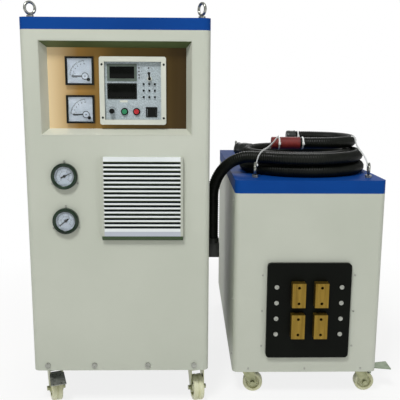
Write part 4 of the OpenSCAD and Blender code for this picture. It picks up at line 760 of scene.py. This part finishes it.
# Fleck paint on the face: grey-blue with darker and paler flecks of about a millimetre
fleck = bpy.data.materials.new("fleck_paint")
fleck.use_nodes = True
fleck_tree = fleck.node_tree
fleck_shader = fleck_tree.nodes["Principled BSDF"]
flecks = put(fleck_tree, "ShaderNodeTexNoise", {
    "Vector": put(fleck_tree, "ShaderNodeTexCoord", {}).outputs["Object"],
    "Scale": 1 / (1.6 * MM), "Detail": 3.0,
})
fleck_tree.links.new(shaded(fleck_tree, flecks.outputs["Fac"], "#8b979a", "#b9c5ca", 0.1),
                     fleck_shader.inputs["Base Color"])
fleck_tree.links.new(put(fleck_tree, "ShaderNodeBump", {
    "Height": flecks.outputs["Fac"], "Distance": 0.05 * MM,
}).outputs["Normal"], fleck_shader.inputs["Normal"])
fleck_shader.inputs["Roughness"].default_value = 0.45
piece("controller_face", [block(
    (CTL.x - FACE_HALF_W, LAID_Y, CTL.z - FACE_HALF_H),
    (CTL.x + FACE_HALF_W, FACE_Y, CTL.z + FACE_HALF_H),
)], fleck)

# Display bezels: moulded, grey-green above and black below, over smoked acrylic
display_grey = finish("grey_display_bezel", "#4b574e", "#5c695f", 0.4, patch=30, grain=0.7,
                      relief=0.02)
smoked = finish("smoked_acrylic", "#060806", "#0c0f0c", 0.16, patch=40, grain=5, relief=0.002,
                ior=1.2)
black_abs = finish("black_abs", "#070a07", "#0e120d", 0.5, patch=25, grain=0.7, relief=0.02,
                   ior=1.25)
upper_display, lower_display = on_face(-0.164, 0.27), on_face(-0.166, -0.003)
BEZEL_W = 84.3
piece("upper_display_bezel", [frame_block(upper_display, BEZEL_W, 47.4, 6.5)],
      display_grey)
piece("lower_display_bezel", [frame_block(lower_display, BEZEL_W, 44.5, 4)], black_abs)
piece("display_windows", [
    block((x - w / 2, BEZEL_FRONT + 0.3, z - h / 2), (x + w / 2, BEZEL_FRONT + 1, z + h / 2), 0.3)
    for (x, z), w, h in ((upper_display, 70, 33), (lower_display, 75, 35))
], smoked)

# Bezel screws: blackened steel, pan heads in the bezel's corners
black_steel = finish("blackened_screw", "#1f241f", "#343a34", 0.35, patch=6, grain=0.8,
                     relief=0.02, metal=0.5)
BEZEL_SCREW_Y = 22
piece("bezel_screws", [
    turned([(0, 0.9), (0.5, 0.9), (0.6, 1.5), (2.2, 1.2), (3.3, 0), (3.3, -0.6)],
           (x, BEZEL_SCREW_Y, z), -REAR, 20)
    for x, z in ((223, 1038), (398, 1038), (223.6, 889), (397.6, 888))
], black_steel)

# Keys and lamps: nine small black keys in threes, and five unlit lamps
key_places = [on_face(x, z) for x in (0.16, 0.245, 0.329) for z in (0.102, 0.005, -0.089)]
lamp_places = [on_face(0.092, z) for z in (0.337, 0.287, 0.235, 0.191)] + [on_face(0.238, 0.337)]
piece("keys", [turned([(0, 3.1), (2.2, 2.9), (3, 2), (3, 0)], (x, FOOT_Y, z), -REAR, 20)
               for x, z in key_places], black_abs)
lamp_red = finish("unlit_lamp", "#33191a", "#4a2526", 0.15, patch=5, grain=1, relief=0.01,
                  coat=0.5)
piece("lamps", [turned([(0, 2.4), (1.3, 2.1), (2, 1.2), (2, 0)], (x, FOOT_Y, z), -REAR, 16)
                for x, z in lamp_places], lamp_red)

# Buttons, knob, switch and rocker: moulded caps on the controller's face
button_green = finish("green_button", "#1d6b45", "#2f8c5e", 0.3, patch=12, grain=0.8, relief=0.02)
button_red = finish("red_button", "#a51d22", "#c9323a", 0.3, patch=12, grain=0.8, relief=0.02)
coat_node(["start_button"], button_green)
coat_node(["stop_button"], button_red)
coat_node(["output_knob", "mode_toggle", "power_rocker"], black_abs)
button_places = [on_face(share, -0.3055) for share in (-0.133, 0.049)]
rocker_x, rocker_z = on_face(0.277, -0.312)
ROCKER_W, ROCKER_H, ROCKER_RIM = 29.5, 25.5, 2.8
ROCKER_FRONT, ROCKER_BACK = 30.1, 32.8


def rim_bar(x, z, width, height):
    """One bar of the rocker's frame."""
    return block((x - width / 2, ROCKER_FRONT, z - height / 2),
                 (x + width / 2, ROCKER_BACK, z + height / 2), 0.6)


piece("button_rings", [
    turned([(7.35, 0), (10.4, 0), (10.4, 2.6), (9.6, 3.4), (8, 3.4), (7.35, 2.8), (7.35, 0)],
           (x, FOOT_Y, z), -REAR, 40)
    for x, z in button_places
] + [
    rim_bar(rocker_x, rocker_z + side * ROCKER_H / 2, ROCKER_W + 2.9, ROCKER_RIM)
    for side in (-1, 1)
] + [
    rim_bar(rocker_x + side * ROCKER_W / 2, rocker_z, ROCKER_RIM, ROCKER_H + 2.7)
    for side in (-1, 1)
], black_abs)
knob = on_face(-0.322, -0.299)
piece("printed_marks", [
    tick(knob[0], MARK_Y, knob[1], angle, 11, 13, 0.6) for angle in range(-40, 221, 26)
] + arc(knob, MARK_Y, 11.5, range(30, 121, 6), 1.2, 0.9) + [
    tick(x + 5.5, MARK_Y, z, 0, 0, 4.5, 0.8) for x, z in lamp_places
] + [
    tick(x - 3, MARK_Y, z - 6.5, 0, 0, 6, 0.6) for x, z in key_places
] + [
    figure("I", rocker_x - 20.5, MARK_Y, rocker_z, 6),
    figure("O", rocker_x + 20.5, MARK_Y, rocker_z, 6),
], ink)
piece("blank_label", [block((272, FACE_Y - 0.8, 932), (294, LAID_Y, 938), 0.1, 1)],
      pale_abs)

# Terminal board: black phenolic laminate, sawn and polished, screwed over the front's
# opening. The four output blocks are sawn and drilled from brass bar.
laminate = finish("black_phenolic_laminate", "#050704", "#0b0e09", 0.45, patch=120, grain=2,
                  relief=0.01, ior=1.18)
coat_node(["terminal_board"], laminate)
brass = finish("sawn_brass", "#7d6425", "#a08338", 0.42, patch=10, grain=1.2, relief=0.05,
               pull=(1, 1, 0.08), metal=0.85)
coat_node(["output_blocks"], brass)

# Casters: pressed steel forks in yellow zinc, wheels of cast cream polyurethane on a nylon
# hub, one pressed brake pedal under each cabinet.
PLACES = ["front_left", "front_right", "rear_left", "rear_right"]
yellow_zinc = finish("yellow_zinc", "#8f9270", "#b4b692", 0.33, patch=18, grain=1.2, relief=0.02,
                     metal=0.7)
cream_wheel = finish("cream_polyurethane", "#cfcfa6", "#dedfc0", 0.4, patch=35, grain=2,
                     relief=0.04)
green_pedal = finish("green_zinc_pedal", "#7d8a74", "#98a48e", 0.35, patch=18, grain=1,
                     relief=0.02, metal=0.6)
coat_node([f"{cabinet}_fork_{place}" for cabinet in ("pu", "hs") for place in PLACES], yellow_zinc)
coat_node([f"{cabinet}_wheel_{place}" for cabinet in ("pu", "hs") for place in PLACES], cream_wheel)
coat_node(["hs_brake_pedal"], green_pedal)

# Inside: inverter stack on its cooling plate, water manifold, fan, transformer and capacitors
aluminium = finish("milled_aluminium", "#8b9193", "#a9aeb0", 0.35, patch=20, grain=1.5,
                   relief=0.03, pull=(1, 0.1, 1), metal=0.9)
copper = finish("copper_pipe", "#8a5a38", "#a8724a", 0.32, patch=25, grain=1.5, relief=0.02,
                metal=0.9)
fan_plastic = finish("black_fan_moulding", "#1d201e", "#2b2f2c", 0.45, patch=40, grain=0.9,
                     relief=0.03)
varnish = finish("varnished_windings", "#5d3317", "#854d26", 0.3, patch=30, grain=2.4, relief=0.4,
                 pull=(0.1, 0.1, 1), coat=0.3)
can = finish("drawn_capacitor_can", "#50575b", "#6c7478", 0.3, patch=40, grain=1.5, relief=0.02,
             metal=0.8)
coat_node(["inverter_stack"], aluminium)
coat_node(["water_manifold"], copper)
coat_node(["vent_fan_frame", "vent_fan_rotor"], fan_plastic)
coat_node(["matching_transformer"], varnish)
coat_node(["resonant_capacitors"], can)


# Studio: pale floor that turns into the white background, three soft lamps and an even sky
floor = bpy.data.meshes.new("floor")
ground = bmesh.new()
bmesh.ops.create_grid(ground, x_segments=1, y_segments=1, size=15)
ground.to_mesh(floor)
ground.free()
floor_object = bpy.data.objects.new("floor", floor)
bpy.context.scene.collection.objects.link(floor_object)
paper = bpy.data.materials.new("white_paper_floor")
paper.use_nodes = True
paper_tree = paper.node_tree
paper_tree.nodes["Principled BSDF"].inputs["Base Color"].default_value = tint("#f2f2f0")
paper_tree.nodes["Principled BSDF"].inputs["Roughness"].default_value = 0.8
seen = put(paper_tree, "ShaderNodeLightPath", {})
white = put(paper_tree, "ShaderNodeEmission", {"Strength": 1.0})
spot = put(paper_tree, "ShaderNodeVectorMath", {
    0: put(paper_tree, "ShaderNodeTexCoord", {}).outputs["Object"],
}, operation="LENGTH")
SHADOW_TO, WHITE_FROM = 0.7, 1.6
far_off = put(paper_tree, "ShaderNodeMapRange", {
    "Value": spot.outputs["Value"], "From Min": SHADOW_TO, "From Max": WHITE_FROM,
    "To Min": 0.82, "To Max": 1,
})
either = put(paper_tree, "ShaderNodeMath", {
    0: seen.outputs["Is Camera Ray"], 1: seen.outputs["Is Glossy Ray"],
}, operation="MAXIMUM")
any_view = put(paper_tree, "ShaderNodeMath", {
    0: either.outputs["Value"], 1: seen.outputs["Is Transmission Ray"],
}, operation="MAXIMUM")
share = put(paper_tree, "ShaderNodeMath", {
    0: any_view.outputs["Value"], 1: far_off.outputs["Result"],
}, operation="MULTIPLY")
blend = put(paper_tree, "ShaderNodeMixShader", {
    0: share.outputs["Value"], 1: paper_tree.nodes["Principled BSDF"].outputs["BSDF"],
    2: white.outputs["Emission"],
})
paper_tree.links.new(blend.outputs["Shader"], paper_tree.nodes["Material Output"].inputs["Surface"])
floor.materials.append(paper)

sky = bpy.data.worlds.new("sky")
sky.use_nodes = True
bpy.context.scene.world = sky
sky_tree = sky.node_tree
sky_seen = put(sky_tree, "ShaderNodeLightPath", {})
sky_either = put(sky_tree, "ShaderNodeMath", {
    0: sky_seen.outputs["Is Camera Ray"], 1: sky_seen.outputs["Is Transmission Ray"],
}, operation="MAXIMUM")
sky_level = put(sky_tree, "ShaderNodeMapRange", {
    "Value": sky_either.outputs["Value"], "To Min": 0.36, "To Max": 1.0,
})
sky_tree.links.new(sky_level.outputs["Result"], sky_tree.nodes["Background"].inputs["Strength"])
sky_tree.nodes["Background"].inputs["Color"].default_value = (1, 1, 1, 1)
AIM = Vector((0, 0, 0.6))
for name, place, size, power in (
    ("key", (-0.85, -2.6, 3.7), 0.8, 96),
    ("fill", (2.6, -2.8, 1.6), 2.0, 14),
    ("rear", (0.6, 3.0, 2.8), 2.2, 40),
):
    lamp = bpy.data.lights.new(name, "AREA")
    lamp.size = size
    lamp.energy = power
    lamp_object = bpy.data.objects.new(name, lamp)
    bpy.context.scene.collection.objects.link(lamp_object)
    lamp_object.location = place
    aim = AIM - Vector(place)
    lamp_object.rotation_euler = aim.to_track_quat("-Z", "Y").to_euler()
